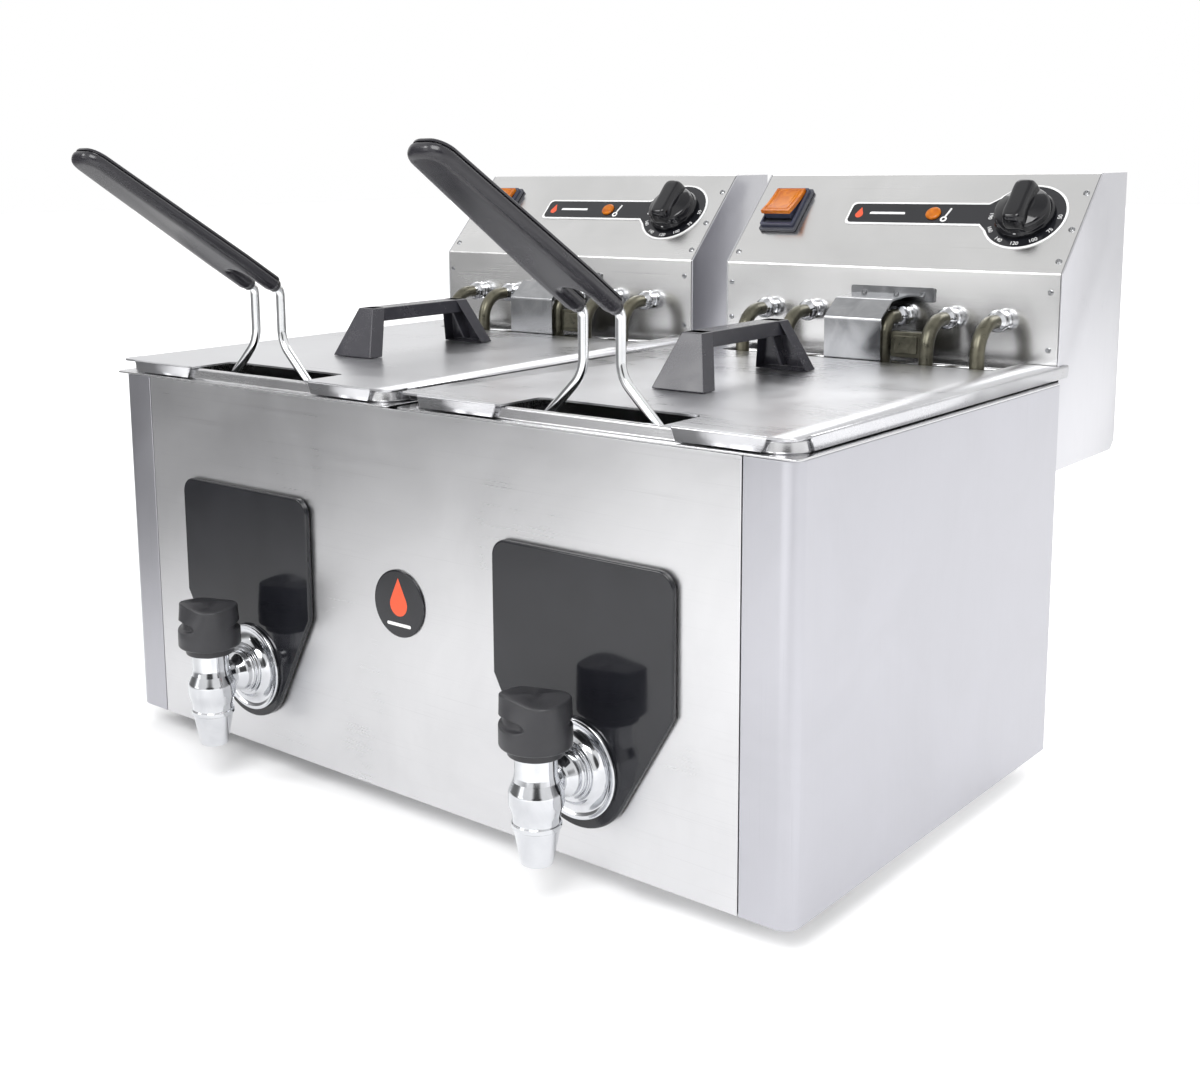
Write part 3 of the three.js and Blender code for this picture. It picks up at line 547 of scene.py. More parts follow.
def emblem():
    low, high = place_of("emblem")
    middle = (low + high) / 2
    place = forward(middle.x, middle.z)
    radius = (high.x - low.x) / 2
    bm = bmesh.new()
    profile = [(0, 0.3), (radius, 0.3), (radius, 1.0, 0.3), (radius - 0.9, 1.35, 0.5), (0, 1.35)]
    turned(bm, profile, place, 96, 4)
    stand_in("emblem", "disc", bm, GLOSS_BLACK, "gloss_black")
    mark = bmesh.new()
    prism(mark, drop(7.2), place @ Matrix.Translation((0, -0.5, 0)), 1.3, 1.42)
    piece("emblem_drop", mark, ORANGE_INK, body="cabinet")
    line = bmesh.new()
    bar = [(-10, -14, 0.9), (10, -14, 0.9), (10, -12, 0.9), (-10, -12, 0.9)]
    prism(line, rounded(bar, 4), place, 1.3, 1.42)
    piece("emblem_line", line, WHITE_INK, body="cabinet")


def front_panel():
    low, high = place_of("front_panel")
    bm = bmesh.new()
    box(bm, (low.x, high.x), (low.y, high.y), (low.z, high.z))
    stand_in("front_panel", "sheet", bm, FRONT_STEEL, "satin_steel", bevel=0.5)


def cabinet():
    for side, sign in zip(SIDES, (-1, 1)):
        side_panel(side, sign)
        for end in ("front", "rear"):
            foot(f"foot_{end}_{side}")
    front_panel()
    refined("rear_panel", FRONT_STEEL, "satin_steel")
    refined("base_plate", TANK_STEEL, "satin_steel")
    emblem()


# ---- tanks and taps ----


def tank(side):
    low, high = place_of(f"tank_{side}")
    y0, y1, top = -0.8, high.y, high.z
    lip_z = CABINET["height"] + GAP
    wall, rim, mouth, bottom, fillet = 8.8, 5.8, 10.0, 40.0, 4.0
    profile = [
        (mouth + fillet, bottom), (wall, bottom, fillet), (wall, lip_z, 1.0), (0, lip_z, 0.4),
        (0, lip_z + SHEET, 0.4), (rim, lip_z + SHEET, 1.2), (rim, top, 1.6), (mouth, top, 1.6),
        (mouth, bottom + SHEET, fillet - SHEET), (mouth + fillet, bottom + SHEET),
    ]
    line = rounded(profile, 6, closed=False)

    def corner(inset):
        if inset < rim:
            return 4 + (20 - rim - 4) * inset / rim
        return max(20 - inset, 4)

    bm = bmesh.new()
    pan(bm, (low.x, high.x, y0, y1), corner, line, 12)
    x = (1 if side == "right" else -1) * TAP["x"]
    inner = y0 + mouth
    stub = [(7.5, 6), (10, 6), (10, -inner - 0.6), (7.5, -inner - 0.6), (7.5, 6)]
    lathe(bm, stub, forward(x, TAP["z"]), 40)
    stand_in(f"tank_{side}", "shell", bm, TANK_STEEL, "satin_steel")


def tap_plate(side, x):
    """Straight-sided plate that tapers to a round end about the tap."""
    top, half, taper = TAP_PLATE["top"], TAP_PLATE["half"], TAP_PLATE["taper_z"]
    low_x = TAP_PLATE["round_shift"]
    radius = TAP_PLATE["round"]
    rise = taper - TAP["z"]

    def touch(reach):
        return math.atan2(rise, reach) - math.acos(radius / math.hypot(reach, rise))

    shift = 2.7 if x > 0 else -2.7
    low_x = (low_x if x > 0 else -low_x) + shift
    left, right = shift - half, shift + half
    start = math.pi - touch(low_x - left)
    end = 2 * math.pi + touch(right - low_x)
    body = arc(radius, start, end, 40, (low_x, TAP["z"]))
    corners = rounded([(right, taper), (right, top, 10), (left, top, 10), (left, taper)], 10, False)
    bm = bmesh.new()
    prism(bm, corners + body, forward(x, 0), 0.35, 4.3)
    stand_in(f"tap_plate_{side}", "gloss", bm, GLOSS_BLACK, "gloss_black", bevel=1.3, steps=4)


def tap_knob(side, x, y):
    """A wavy-topped block that runs down into a round body, with a finger dent on each face."""
    disc, half, thin, low = 20.0, 19.2, 14.0, 79.2

    def eased(t):
        t = min(1.0, max(0.0, t))
        return t * t * (3 - 2 * t)

    def crown(u, v):
        front = min(1.0, max(0.0, 0.5 - v / (2 * thin)))
        return 105.2 + 2.4 * (front * eased((14 - u) / 28) + (1 - front) * eased((14 + u) / 28))

    def dent(lean, z):
        along = 1 - ((lean + 7) / 14) ** 2
        height = max(0.8, 3.2 * math.sqrt(max(0.0, along)))
        across = 1 - ((z - 93.5) / height) ** 2
        return 3.0 * min(1.0, 1.6 * across) * min(1.0, 2 * along) if min(along, across) > 0 else 0.0

    count = 180
    block, body = squircle(half, thin, 0.6, count), squircle(disc, disc, 1, count)

    def ring(rise, inset=0.0, shrink=1.0):
        line = []
        for (wu, wv), (bu, bv) in zip(block, body):
            z = low + (crown(wu, wv) - low) * rise
            full = eased((108 - z) / 22)
            u, v = wu + (bu - wu) * full, wv + (bv - wv) * full
            v += math.copysign(dent(u if v < 0 else -u, z), -v)
            size = shrink * (1 - inset / math.hypot(u, v))
            line.append(Vector((x + u * size, y + v * size, z)))
        return line

    quarter = [math.pi / 2 * k / 6 for k in range(7)]
    rings = [ring(0.06 * (1 - math.cos(a)), 1.6 * (1 - math.sin(a))) for a in quarter]
    rings += [ring(k / 80) for k in range(6, 76)]
    rings += [ring(0.95 + 0.05 * math.sin(a), 1.5 * (1 - math.cos(a))) for a in quarter]
    rings += [ring(1.0, 1.5, shrink) for shrink in (0.75, 0.5, 0.25)]
    bm = bmesh.new()
    loft(bm, rings)
    skirt = [(4.4, 86), (4.4, 74.4), (15.5, 74.4, 0.8), (15.5, 86)]
    lathe(bm, rounded(skirt, 4, closed=False) + [(4.4, 86)], upright(x, y), 64)
    stand_in(f"tap_knob_{side}", "moulded", bm, SATIN_BLACK, "satin_black", crease=60)


def tap(side):
    low, high = place_of(f"tap_flange_{side}")
    x = (low.x + high.x) / 2
    rim = (high.x - low.x) / 2
    tap_plate(side, x)
    front = forward(x, TAP["z"])
    rosette = [
        (10.6, 4.6), (rim, 4.6, 0.6), (rim, 7.2, 0.9), (rim - 2.4, 7.2, 0.8), (rim - 4, 5.9, 3),
        (20, 6.6, 6), (17.6, 10.4, 0.8), (15.9, 10.6, 0.4), (15.7, 12.2, 0.4), (14.1, 12.4, 0.3),
        (13.9, 13.8, 0.5), (13.2, 14.2, 0.4), (12.8, 17.6, 3.5), (9.6, 21.6, 2), (8.4, 24.4, 0.4),
        (8.4, 20), (10.6, 4.6),
    ]
    bm = bmesh.new()
    turned(bm, rosette, front, 96)
    stand_in(f"tap_flange_{side}", "turned", bm, CHROME, "chrome", crease=50)

    bm = bmesh.new()
    neck = [(0, 6.3), (10, 6.3), (10, 18), (8.8, 24, 3), (8.8, 30, 4), (11.5, 36), (0, 36)]
    turned(bm, neck, front, 64)
    body = [
        (0, 36), (6.5, 36), (6.5, 13.2), (7.2, 12.8, 0.3), (8.9, 12.8, 0.7), (12.9, 33.2, 0.5),
        (13.7, 33.8, 0.5), (13.7, 36.2, 0.5), (13.0, 36.8, 0.8), (13.1, 41, 6), (15.2, 47, 8),
        (15.2, 54, 6), (12.6, 59.8, 1.2), (12.1, 62.2, 0.8), (11.7, 64), (11.7, 73.8, 0.6),
        (4, 73.8), (4, 88), (0, 88),
    ]
    turned(bm, body, upright(x, TAP["y"]), 96)
    stand_in(f"tap_body_{side}", "turned", bm, CHROME, "chrome", crease=50)
    tap_knob(side, x, TAP["y"])


# ---- lids ----


def folded_edge(bm, start, end, inward, top, lean):
    """A sheet's edge bent down along a line; its two ends lean in by lean towards the bottom."""
    bend, low = LID["bend"], top - LID["flange"]
    profile = [
        (bend, top), (0, top, bend), (0, low, 0.3), (SHEET, low, 0.3),
        (SHEET, top - SHEET, bend - SHEET), (bend, top - SHEET),
    ]
    line = rounded(profile, 8)
    start, end, inward = Vector(start), Vector(end), Vector(inward)
    along = (end - start).normalized()
    rings = []
    for point, sense, most in ((start, 1, lean[0]), (end, -1, lean[1])):
        ring = []
        for depth, z in line:
            fall = max(0.0, (top - bend - z) / (LID["flange"] - bend))
            spot = point + inward * depth + along * sense * most * fall
            ring.append(Vector((spot.x, spot.y, z)))
        rings.append(ring)
    loft(bm, rings)


def lid(side):
    low, high = place_of(f"lid_{side}")
    x0, x1, front, top = low.x, high.x, low.y, high.z
    centre = (x0 + x1) / 2 - 135
    bend, cut, corner = LID["bend"], LID["corner_cut"], LID["corner"]
    rear, ear = LID["rear"], high.y
    slot0, slot1 = (centre + SLOT["x"] + s * SLOT["half"] for s in (-1, 1))
    notch0, notch1 = (centre + HEAD["x"] + s * NOTCH["half"] for s in (-1, 1))
    gap = SLOT["gap"]
    outline = [
        (slot1, front), (slot1 + gap, front), (slot1 + gap, front + bend),
        (x1 - cut, front + bend), (x1 - cut, front), (x1, front, corner), (x1, front + cut),
        (x1 - bend, front + cut), (x1 - bend, rear), (notch1, rear), (notch1, NOTCH["front"], 3),
        (notch0, NOTCH["front"], 3), (notch0, rear), (x0 + bend, rear), (x0 + bend, front + cut),
        (x0, front + cut), (x0, front, corner), (x0 + cut, front), (x0 + cut, front + bend),
        (slot0 - gap, front + bend), (slot0 - gap, front), (slot0, front),
        (slot0, SLOT["rear"], SLOT["corner"]), (slot1, SLOT["rear"], SLOT["corner"]),
    ]
    bm = bmesh.new()
    prism(bm, rounded(outline, 8), Matrix(), top - SHEET, top)
    folded_edge(bm, (x0 + cut, front), (slot0 - gap, front), (0, 1), top, (3, 2.5))
    folded_edge(bm, (slot1 + gap, front), (x1 - cut, front), (0, 1), top, (2.5, 3))
    folded_edge(bm, (x1, front + cut), (x1, ear), (-1, 0), top, (3, 1))
    folded_edge(bm, (x0, front + cut), (x0, ear), (1, 0), top, (3, 1))
    joints = (x0 + bend, x1 - bend)

    def is_fold(p):
        inside = min(abs(p.x - j) for j in joints) < 0.05 or abs(p.y - front - bend) < 0.05
        return inside or p.z < top - SHEET - 0.01 or min(p.x - x0, x1 - p.x) < bend - 0.3

    stand_in(f"lid_{side}", "folded", bm, LID_STEEL, "satin_steel", bevel=0.3, skip=is_fold)
    lid_handle(side)


def hexahedron(bm, corners):
    """Eight corners: four of one face in order, then the four opposite. Returns the faces."""
    v = [bm.verts.new(c) for c in corners]
    order = [(3, 2, 1, 0), (4, 5, 6, 7), (0, 1, 5, 4), (1, 2, 6, 5), (2, 3, 7, 6), (3, 0, 4, 7)]
    return [bm.faces.new([v[i] for i in quad]) for quad in order]


def lid_handle(side):
    """Two splayed legs, hollow behind and stiffened by a rib, under a square rail."""
    low, high = place_of(f"lid_handle_{side}")
    x = (low.x + high.x) / 2
    base, crown = low.z, high.z
    foot, top, lean, thick, bar = 18.7, 7.2, 15.0, 12.0, 9.5
    bm = bmesh.new()
    for y, into in ((low.y, 1), (high.y, -1)):
        outer = [(x - foot, y, base), (x + foot, y, base), (x + top, y + into * lean, crown),
                 (x - top, y + into * lean, crown)]
        inner = [(a, b + into * thick, c) for a, b, c in outer]
        faces = hexahedron(bm, outer + inner)
        face_out, face_in = faces[0], faces[1]
        bmesh.ops.inset_region(bm, faces=[face_out], thickness=1.1, depth=-0.3)
        bmesh.ops.inset_region(bm, faces=[face_in], thickness=2.2, depth=0)
        bmesh.ops.translate(bm, verts=face_in.verts, vec=(0, -into * 8.5, 0))
        rib_low = [(x - 1, y + into * 2, base + 2.5), (x + 1, y + into * 2, base + 2.5)]
        rib_high = [(x + 1, y + into * (lean - 1), crown - bar), (x - 1, y + into * (lean - 1), crown - bar)]
        rib = rib_low + rib_high
        hexahedron(bm, rib + [(a, b + into * (thick - 2.5), c) for a, b, c in rib])
    box(bm, (x - top, x + top), (low.y + lean + 1, high.y - lean - 1), (crown - bar, crown))
    stand_in(f"lid_handle_{side}", "moulded", bm, SLATE, "grey_plastic", bevel=0.7, steps=3)


# ---- baskets ----


def wire_basket(side):
    """Woven wire: uprights and hoops on the walls, a grid on the floor, thick rims."""
    low, high = place_of(f"basket_{side}")
    x0, x1, y0, y1, z0, z1 = low.x, high.x, low.y, high.y, low.z, high.z
    corner, draft, fillet, thin, pitch = 24.0, 4.0, 8.0, 0.55, 7.0
    inset_to = [(0.6, z1), (draft + 0.6, z0 + 0.6, fillet), (draft + 22, z0 + 0.6)]
    fall = rounded(inset_to, 5, closed=False)

    def hoop(inset, z, steps=9):
        r = max(corner - inset, 5)
        return ring_points(x0 + inset, x1 - inset, y0 + inset, y1 - inset, r, z, steps)

    def along(ring, count):
        """Points evenly spread round a ring."""
        sizes = [(ring[(i + 1) % len(ring)] - p).length for i, p in enumerate(ring)]
        total, spots, walked, i = sum(sizes), [], 0.0, 0
        for k in range(count):
            target = total * k / count
            while walked + sizes[i] < target:
                walked += sizes[i]
                i += 1
            spots.append(ring[i].lerp(ring[(i + 1) % len(ring)], (target - walked) / sizes[i]))
        return spots

    bm = bmesh.new()
    count = round(2 * (x1 - x0 + y1 - y0 - 2 * corner) / pitch)
    levels = [along(hoop(inset, z), count) for inset, z in fall]
    for k in range(count):
        sweep(bm, [level[k] for level in levels[:-1]], thin, 5)
    hoops = round((z1 - z0 - fillet) / pitch)
    for k in range(1, hoops):
        z = z1 - k * pitch
        inset = 0.6 + draft * (z1 - z) / (z1 - z0) + 1.0
        sweep(bm, hoop(inset, z), thin, 5, closed=True)
    floor = draft + fillet * 0.4
    ax, bx, ay, by = x0 + floor, x1 - floor, y0 + floor, y1 - floor
    r = corner - floor

    def trim(d, half_other):
        """How far a floor wire stops short where it crosses a rounded corner."""
        over = d - (half_other - r)
        return r - math.sqrt(max(r * r - over * over, 0)) if over > 0 else 0.0

    mx, my = (ax + bx) / 2, (ay + by) / 2
    for k in range(-20, 21):
        x, y = mx + k * pitch, my + k * pitch
        if ax < x < bx:
            t = trim(abs(x - mx), (bx - ax) / 2)
            sweep(bm, [Vector((x, ay + t, z0 + 0.6)), Vector((x, by - t, z0 + 0.6))], thin, 5)
        if ay < y < by:
            t = trim(abs(y - my), (by - ay) / 2)
            sweep(bm, [Vector((ax + t, y, z0 + 1.5)), Vector((bx - t, y, z0 + 1.5))], thin, 5)
    for inset, z, radius in ((1.6, z1 - 1.6, 1.6), (3.4, (z0 + z1) / 2, 1.3), (draft + 2.8, z0 + 4, 1.4)):
        sweep(bm, hoop(inset, z, 12), radius, 10, closed=True)
    stand_in(f"basket_{side}", "mesh", bm, WIRE_CHROME, "chrome", crease=80)


def grip_axes():
    pitch = math.radians(GRIP["pitch"])
    along = Vector((0, -math.cos(pitch), math.sin(pitch)))
    across = Vector((-1, 0, 0))
    return along, across, along.cross(across)


def grip_outline(inset, steps=12):
    """The fork-ended outline of the grip, drawn in by inset."""
    spread, prong, length = WIRE["spread"], GRIP["prong"], GRIP["length"]
    half, tip = spread + prong - inset, GRIP["tip"] - inset
    end, narrow = length - inset, GRIP["tip_half"] - inset
    r = prong - inset

    quarter = math.pi / 2
    line = arc(r, quarter, 3 * quarter, steps, (prong, spread))
    line += arc(spread - r, quarter, -quarter, steps, (20, 0))
    line += arc(r, quarter, 3 * quarter, steps, (prong, -spread))
    line += [(34, -half)]
    line += arc(tip, -quarter, 0, steps, (end - tip, tip - narrow))
    line += arc(tip, 0, quarter, steps, (end - tip, narrow - tip))
    line += [(34, half)]
    return line


def grip(side, x):
    """A rounded upper shell over a flat insert, with a groove between them."""
    along, across, out = grip_axes()
    place = basis(along, across, out, (x, GRIP["y"], GRIP["z"]))
    layers = [
        (3.4, -4.35), (2.2, -4.6), (1.4, -4.5), (1.0, -4.0), (0.9, -3.0), (1.9, -2.7), (1.9, -2.2),
        (0.6, -1.9), (0.15, -1.3), (0, -0.4), (0, 0.8), (0.3, 2.0), (1.0, 3.1), (2.0, 3.9),
        (3.4, 4.5), (5.0, 4.7),
    ]
    rings = [[place @ Vector((u, v, w)) for u, v in grip_outline(inset)] for inset, w in layers]
    bm = bmesh.new()
    loft(bm, rings)
    ridge = [(60, -7.6, 4), (150, -6.2, 5), (150, 6.2, 5), (60, 7.6, 4)]
    line = [place @ Vector((u, v, -4.35)) for u, v in rounded(ridge, 10)]
    sweep(bm, line, 0.55, 8, closed=True)
    for v in (-WIRE["spread"], WIRE["spread"]):
        collar = basis(across, out, along, place @ Vector((4, v, 0)))
        lathe(bm, [(0, -4.6), (3.4, -4.6), (4.3, -3.4), (4.3, 2), (0, 2)], collar, 24)
    stand_in(f"basket_grip_{side}", "moulded", bm, GRIP_BLACK, "gloss_black", crease=50)


def basket(side):
    wire_basket(side)
    low, high = place_of(f"basket_{side}")
    x = (low.x + high.x) / 2
    along = grip_axes()[0]
    y, inset, wide = WIRE["y"], WIRE["spread"], WIRE["foot_spread"]
    top = GRIP["z"] + (y - GRIP["y"]) * along.z / along.y
    held = Vector((0, y, top)) + along * 26
    foot = low.z + 22
    half = [(inset, held.y, held.z), (inset, y, top, 7), (inset, y, 271, 20), (wide, y, 232, 20)]
    right = [(x + dx, *rest) for dx, *rest in half] + [(x + wide, y, foot, 12)]
    left = [(x - dx, *rest) for dx, *rest in half] + [(x - wide, y, foot, 12)]
    line = rounded(left + right[::-1], 10, closed=False, dims=3)
    bm = bmesh.new()
    sweep(bm, line, WIRE["radius"], 24)
    stand_in(f"basket_handle_{side}", "wire", bm, WIRE_CHROME, "chrome", crease=60)
    grip(side, x)


# ---- control heads ----


def fascia(side):
    """One sheet bent twice: upright below, 45 degree control slope, flat top."""
    low, high = place_of(f"head_fascia_{side}")
    outer, inner = 2.6, 2.6 - SHEET
    edge = SHEET * math.tan(math.pi / 8)
    front, bend, crest, top = HEAD["front"], HEAD["bend"], HEAD["crest"], HEAD["top"]
    section = [
        (front, low.z), (front, bend, outer), (crest, top, outer), (high.y, top), (high.y, top - SHEET),
        (crest + edge, top - SHEET, inner), (front + SHEET, bend - edge, inner), (front + SHEET, low.z),
    ]
    bm = bmesh.new()
    prism(bm, rounded(section, 8), sideways(), low.x, high.x)
    stand_in(f"head_fascia_{side}", "folded", bm, SLOPE_STEEL, "satin_steel", crease=25)


def screw_head(bm, place, radius=2.2, height=0.9):
    """A round head with a crossed recess, shown as a shallow dish."""
    profile = [
        (0, height * 0.35), (radius * 0.3, height * 0.4), (radius * 0.5, height * 0.95),
        (radius * 0.7, height), (radius * 0.93, height * 0.6), (radius, 0), (0, 0),
    ]
    lathe(bm, profile, place, 20)


def head_screws(side, x):
    bm = bmesh.new()
    for dx, s in ((120, 69.2), (120, 37.5), (120, 10.3), (-120, 10.3)):
        screw_head(bm, slope(x + dx, s))
    for dx, z in ((118.5, 298.4), (118.5, 261.4), (-121, 295.8), (-121, 270.3)):
        screw_head(bm, forward(x + dx, z, HEAD["front"]), 1.9, 0.7)
    back = HEAD["back"]
    rearward = basis((-1, 0, 0), (0, 0, 1), (0, 1, 0))
    for dx in (-114, 0, 114):
        for z in (200, 356):
            screw_head(bm, Matrix.Translation((x + dx, back - 0.75, z)) @ rearward, 2.6, 0.7)
    # Painted shade: the screws take the darkened guard steel, which dulls their highlights.
    piece(f"head_{side}_screws", bm, GUARD_STEEL_PAINTED_SHADE, body=f"control_head_{side}", slot="bright_steel")


def label_outline(inset):
    """The strip and dial field of the label, drawn in by inset, round the dial's centre."""
    radius = DIAL["radius"] - inset
    low = STRIP["low"] - DIAL["s"] + inset
    high = STRIP["high"] - DIAL["s"] - inset
    left = STRIP["x0"] - DIAL["dx"] + inset
    join = 5.0 + inset
    start = math.pi + math.asin(-low / radius) if low < 0 else math.pi
    end = 3 * math.pi - math.asin(high / radius)
    first = start + join / radius
    last = end - join / radius
    dial = arc(radius, first, last, 64)
    meet_low = (radius * math.cos(start) - join * 0.55, low)
    meet_high = (radius * math.cos(end) - join * 0.55, high)
    strip = rounded([meet_high, (left, high, 3.4), (left, low, 3.4), meet_low], 8, closed=False)
    return strip + dial


def figures(bm, text, size, place):
    """Printed figures, centred on the place."""
    curve = bpy.data.curves.new("figures", "FONT")
    curve.body = text
    curve.size = size
    curve.extrude = 0.03
    curve.align_x = "CENTER"
    curve.align_y = "CENTER"
    holder = shown("figures", curve)
    bpy.context.view_layer.update()
    mesh = bpy.data.meshes.new_from_object(holder.evaluated_get(bpy.context.evaluated_depsgraph_get()))
    mesh.transform(place)
    bm.from_mesh(mesh)
    bpy.data.meshes.remove(mesh)
    bpy.data.objects.remove(holder)
    bpy.data.curves.remove(curve)


def dial_label(side, x):
    body = BODY_OF[f"dial_label_{side}"]
    place = slope(x + DIAL["dx"], DIAL["s"])
    bm = bmesh.new()
    prism(bm, label_outline(0), place, 0.05, 0.6)
    piece(f"dial_label_{side}_border", bm, WHITE_INK, body=body)
    bm = bmesh.new()
    prism(bm, label_outline(1.5), place, 0.1, 0.72)
    stand_in(f"dial_label_{side}", "field", bm, GLOSS_BLACK, "gloss_black")

    ink = bmesh.new()
    marks = ("50", "75", "100", "120", "140", "160", "190")
    for k, text in enumerate(marks):
        a = -math.pi * k / (len(marks) - 1)
        spot = Matrix.Translation((23.6 * math.cos(a), 23.6 * math.sin(a), 0.75))
        figures(ink, text, 4.0, place @ spot @ Matrix.Rotation(a + math.pi / 2, 4, "Z"))
    strip = (STRIP["low"] + STRIP["high"]) / 2 - DIAL["s"]
    left = STRIP["x0"] - DIAL["dx"]
    bar0, bar1 = left + 17, left + 44
    bar = [(bar0, strip - 1), (bar1, strip - 1), (bar1, strip + 1, 0.9), (bar0, strip + 1, 0.9)]
    prism(ink, rounded(bar, 4), place, 0.72, 0.78)
    stem = LAMP["dx"] - DIAL["dx"] + 9.4
    tube_line = [(stem, strip - 3.2), (stem + 2.2, strip + 4.6)]
    sweep(ink, [place @ Vector((u, v, 0.6)) for u, v in tube_line], 0.75, 8)
    lathe(ink, [(1.2, 0.7), (2.4, 0.7), (2.4, 0.85), (1.2, 0.85), (1.2, 0.7)],
          place @ Matrix.Translation((stem - 0.5, strip - 5, 0)), 24)
    piece(f"dial_label_{side}_print", ink, WHITE_INK, body=body)
    mark = bmesh.new()
    prism(mark, drop(2.9), place @ Matrix.Translation((left + 9, strip - 1.6, 0)), 0.72, 0.8)
    piece(f"dial_label_{side}_drop", mark, ORANGE_INK, body=body)


def thermostat_knob(side, x):
    place = slope(x + DIAL["dx"], DIAL["s"])
    bm = bmesh.new()
    profile = [
        (0, 1.3), (20, 1.3, 0.5), (20, 3.8, 0.8), (18.8, 5.0, 1.0), (17.9, 10.2, 3.0),
        (10, 13.4, 5.0), (0, 13.8),
    ]
    turned(bm, profile, place, 72)
    rings = []
    for half_u, half_v, w in (
        (9.4, 18.2, 4), (8.8, 18.2, 11), (8.0, 17.9, 15), (7.3, 17.3, 17.4), (6.6, 16.4, 18.8),
        (5.6, 15.0, 19.4), (3.6, 12.6, 19.5),
    ):
        ring = []
        for u, v in squircle(half_u, half_v, 0.45, 48):
            pinch = 1 - 0.1 * math.cos(math.pi * v / (2 * half_v)) ** 2
            ring.append(place @ Vector((u * pinch, v, w)))
        rings.append(ring)
    loft(bm, rings)
    stand_in(f"thermostat_knob_{side}", "moulded", bm, KNOB_BLACK, "gloss_black", crease=45)
    tick = bmesh.new()
    box(tick, (-0.8, 0.8), (-19.2, -16.6), (3.2, 5.0), place)
    piece(f"thermostat_knob_{side}_mark", tick, WHITE_INK, body=BODY_OF[f"thermostat_knob_{side}"])


def rounded_box(bm, half_u, half_v, radius, place, low, high):
    prism(bm, oblong(half_u, half_v, radius), place, low, high)


def rocker_switch(side, x):
    place = slope(x + SWITCH["dx"], SWITCH["s"])
    bm = bmesh.new()
    rounded_box(bm, 15, 20, 1.6, place, 0.3, 3.0)
    rounded_box(bm, 13.1, 17, 0.6, place, -18, 0.5)
    stand_in(f"switch_bezel_{side}", "flange", bm, BEZEL, "satin_black", bevel=0.5, steps=3)
    bm = bmesh.new()
    outer = oblong(13.6, 18, 1.4)
    inner = oblong(12.2, 15.6, 0.6)
    rings = [[place @ Vector((u, v, w)) for u, v in line] for line, w in
             ((outer, 2.8), (outer, 5.6), (outer, 6.2), (inner, 6.2), (inner, -6))]
    loft(bm, rings, closed_loft=True)
    piece(f"switch_bezel_{side}_surround", bm, BLUE_BLACK, body=BODY_OF[f"switch_bezel_{side}"],
          slot="gloss_black", bevel=0.4, steps=3)

    tilted = place @ Matrix.Translation((0, 0, SWITCH["pivot"])) @ Matrix.Rotation(
        -math.radians(SWITCH["tilt"]), 4, "X")

    def level(inset, lift, sag=0.0):
        """A ring at the rocker's top face, lowered by lift; sag hollows its middle."""
        ring = []
        for u in (1, -1):
            for v in (-14, -5, 5, 14)[::u]:
                end = abs(v) > 10
                spot = (u * (11.8 - inset), v - math.copysign(inset if end else 0, v))
                ring.append(tilted @ Vector((*spot, (9.4 if end else 8.6 - sag) - lift)))
        return ring

    lens = bmesh.new()
    loft(lens, [level(0, 3.0), level(0, 0), level(2.0, 0), level(2.3, 0.55), level(2.9, 0.55),
                level(3.3, 0.1), level(5.0, 0.1)])
    stand_in(f"switch_rocker_{side}", "lens", lens, AMBER, "amber", bevel=0.3, steps=2)
    under = []
    for u in (1, -1):
        for v in (-12.6, -8, 8, 12.6)[::u]:
            under.append(tilted @ Vector((u * 10.6, v, 1.5 if abs(v) > 10 else -7)))
    core = bmesh.new()
    loft(core, [under, level(0.9, 3.0)])
    piece(f"switch_rocker_{side}_core", core, BLUE_BLACK, body=BODY_OF[f"switch_rocker_{side}"],
          slot="amber", bevel=0.4, steps=2)


def element(side, x, name):
    shape = ELEMENTS[name]
    half, front, drop_y, bend, turn = (shape[k] for k in ("half", "front", "drop", "bend", "turn"))
    inside = HEAD["front"] + 22
    right = [
        (half, inside, GLAND_Z), (half, drop_y, GLAND_Z, bend), (half, drop_y, HEATER_Z, 18),
        (half, front, HEATER_Z, turn),
    ]
    left = [(x - dx, *rest) for dx, *rest in right]
    right = [(x + dx, *rest) for dx, *rest in right]
    bm = bmesh.new()
    sweep(bm, rounded(left + right[::-1], 10, closed=False, dims=3), TUBE, 20)
    stand_in(f"heating_element_{name}_{side}", "tube", bm, SHEATH, "sheath", crease=60)
    bm = bmesh.new()
    ball = [math.radians(a) for a in range(-36, 51, 6)]
    dome = [(0, 0.3), (6.9, 0.3), (6.9, 2.2), (6, 2.6)]
    dome += [(7.4 * math.cos(a), 7.3 + 7.4 * math.sin(a)) for a in ball] + [(0, 13)]
    for sign in (-1, 1):
        lathe(bm, dome, forward(x + sign * half, GLAND_Z, HEAD["front"]), 48)
    body = BODY_OF[f"heating_element_{name}_{side}"]
    piece(f"element_glands_{name}_{side}", bm, CHROME, body=body, slot="chrome")


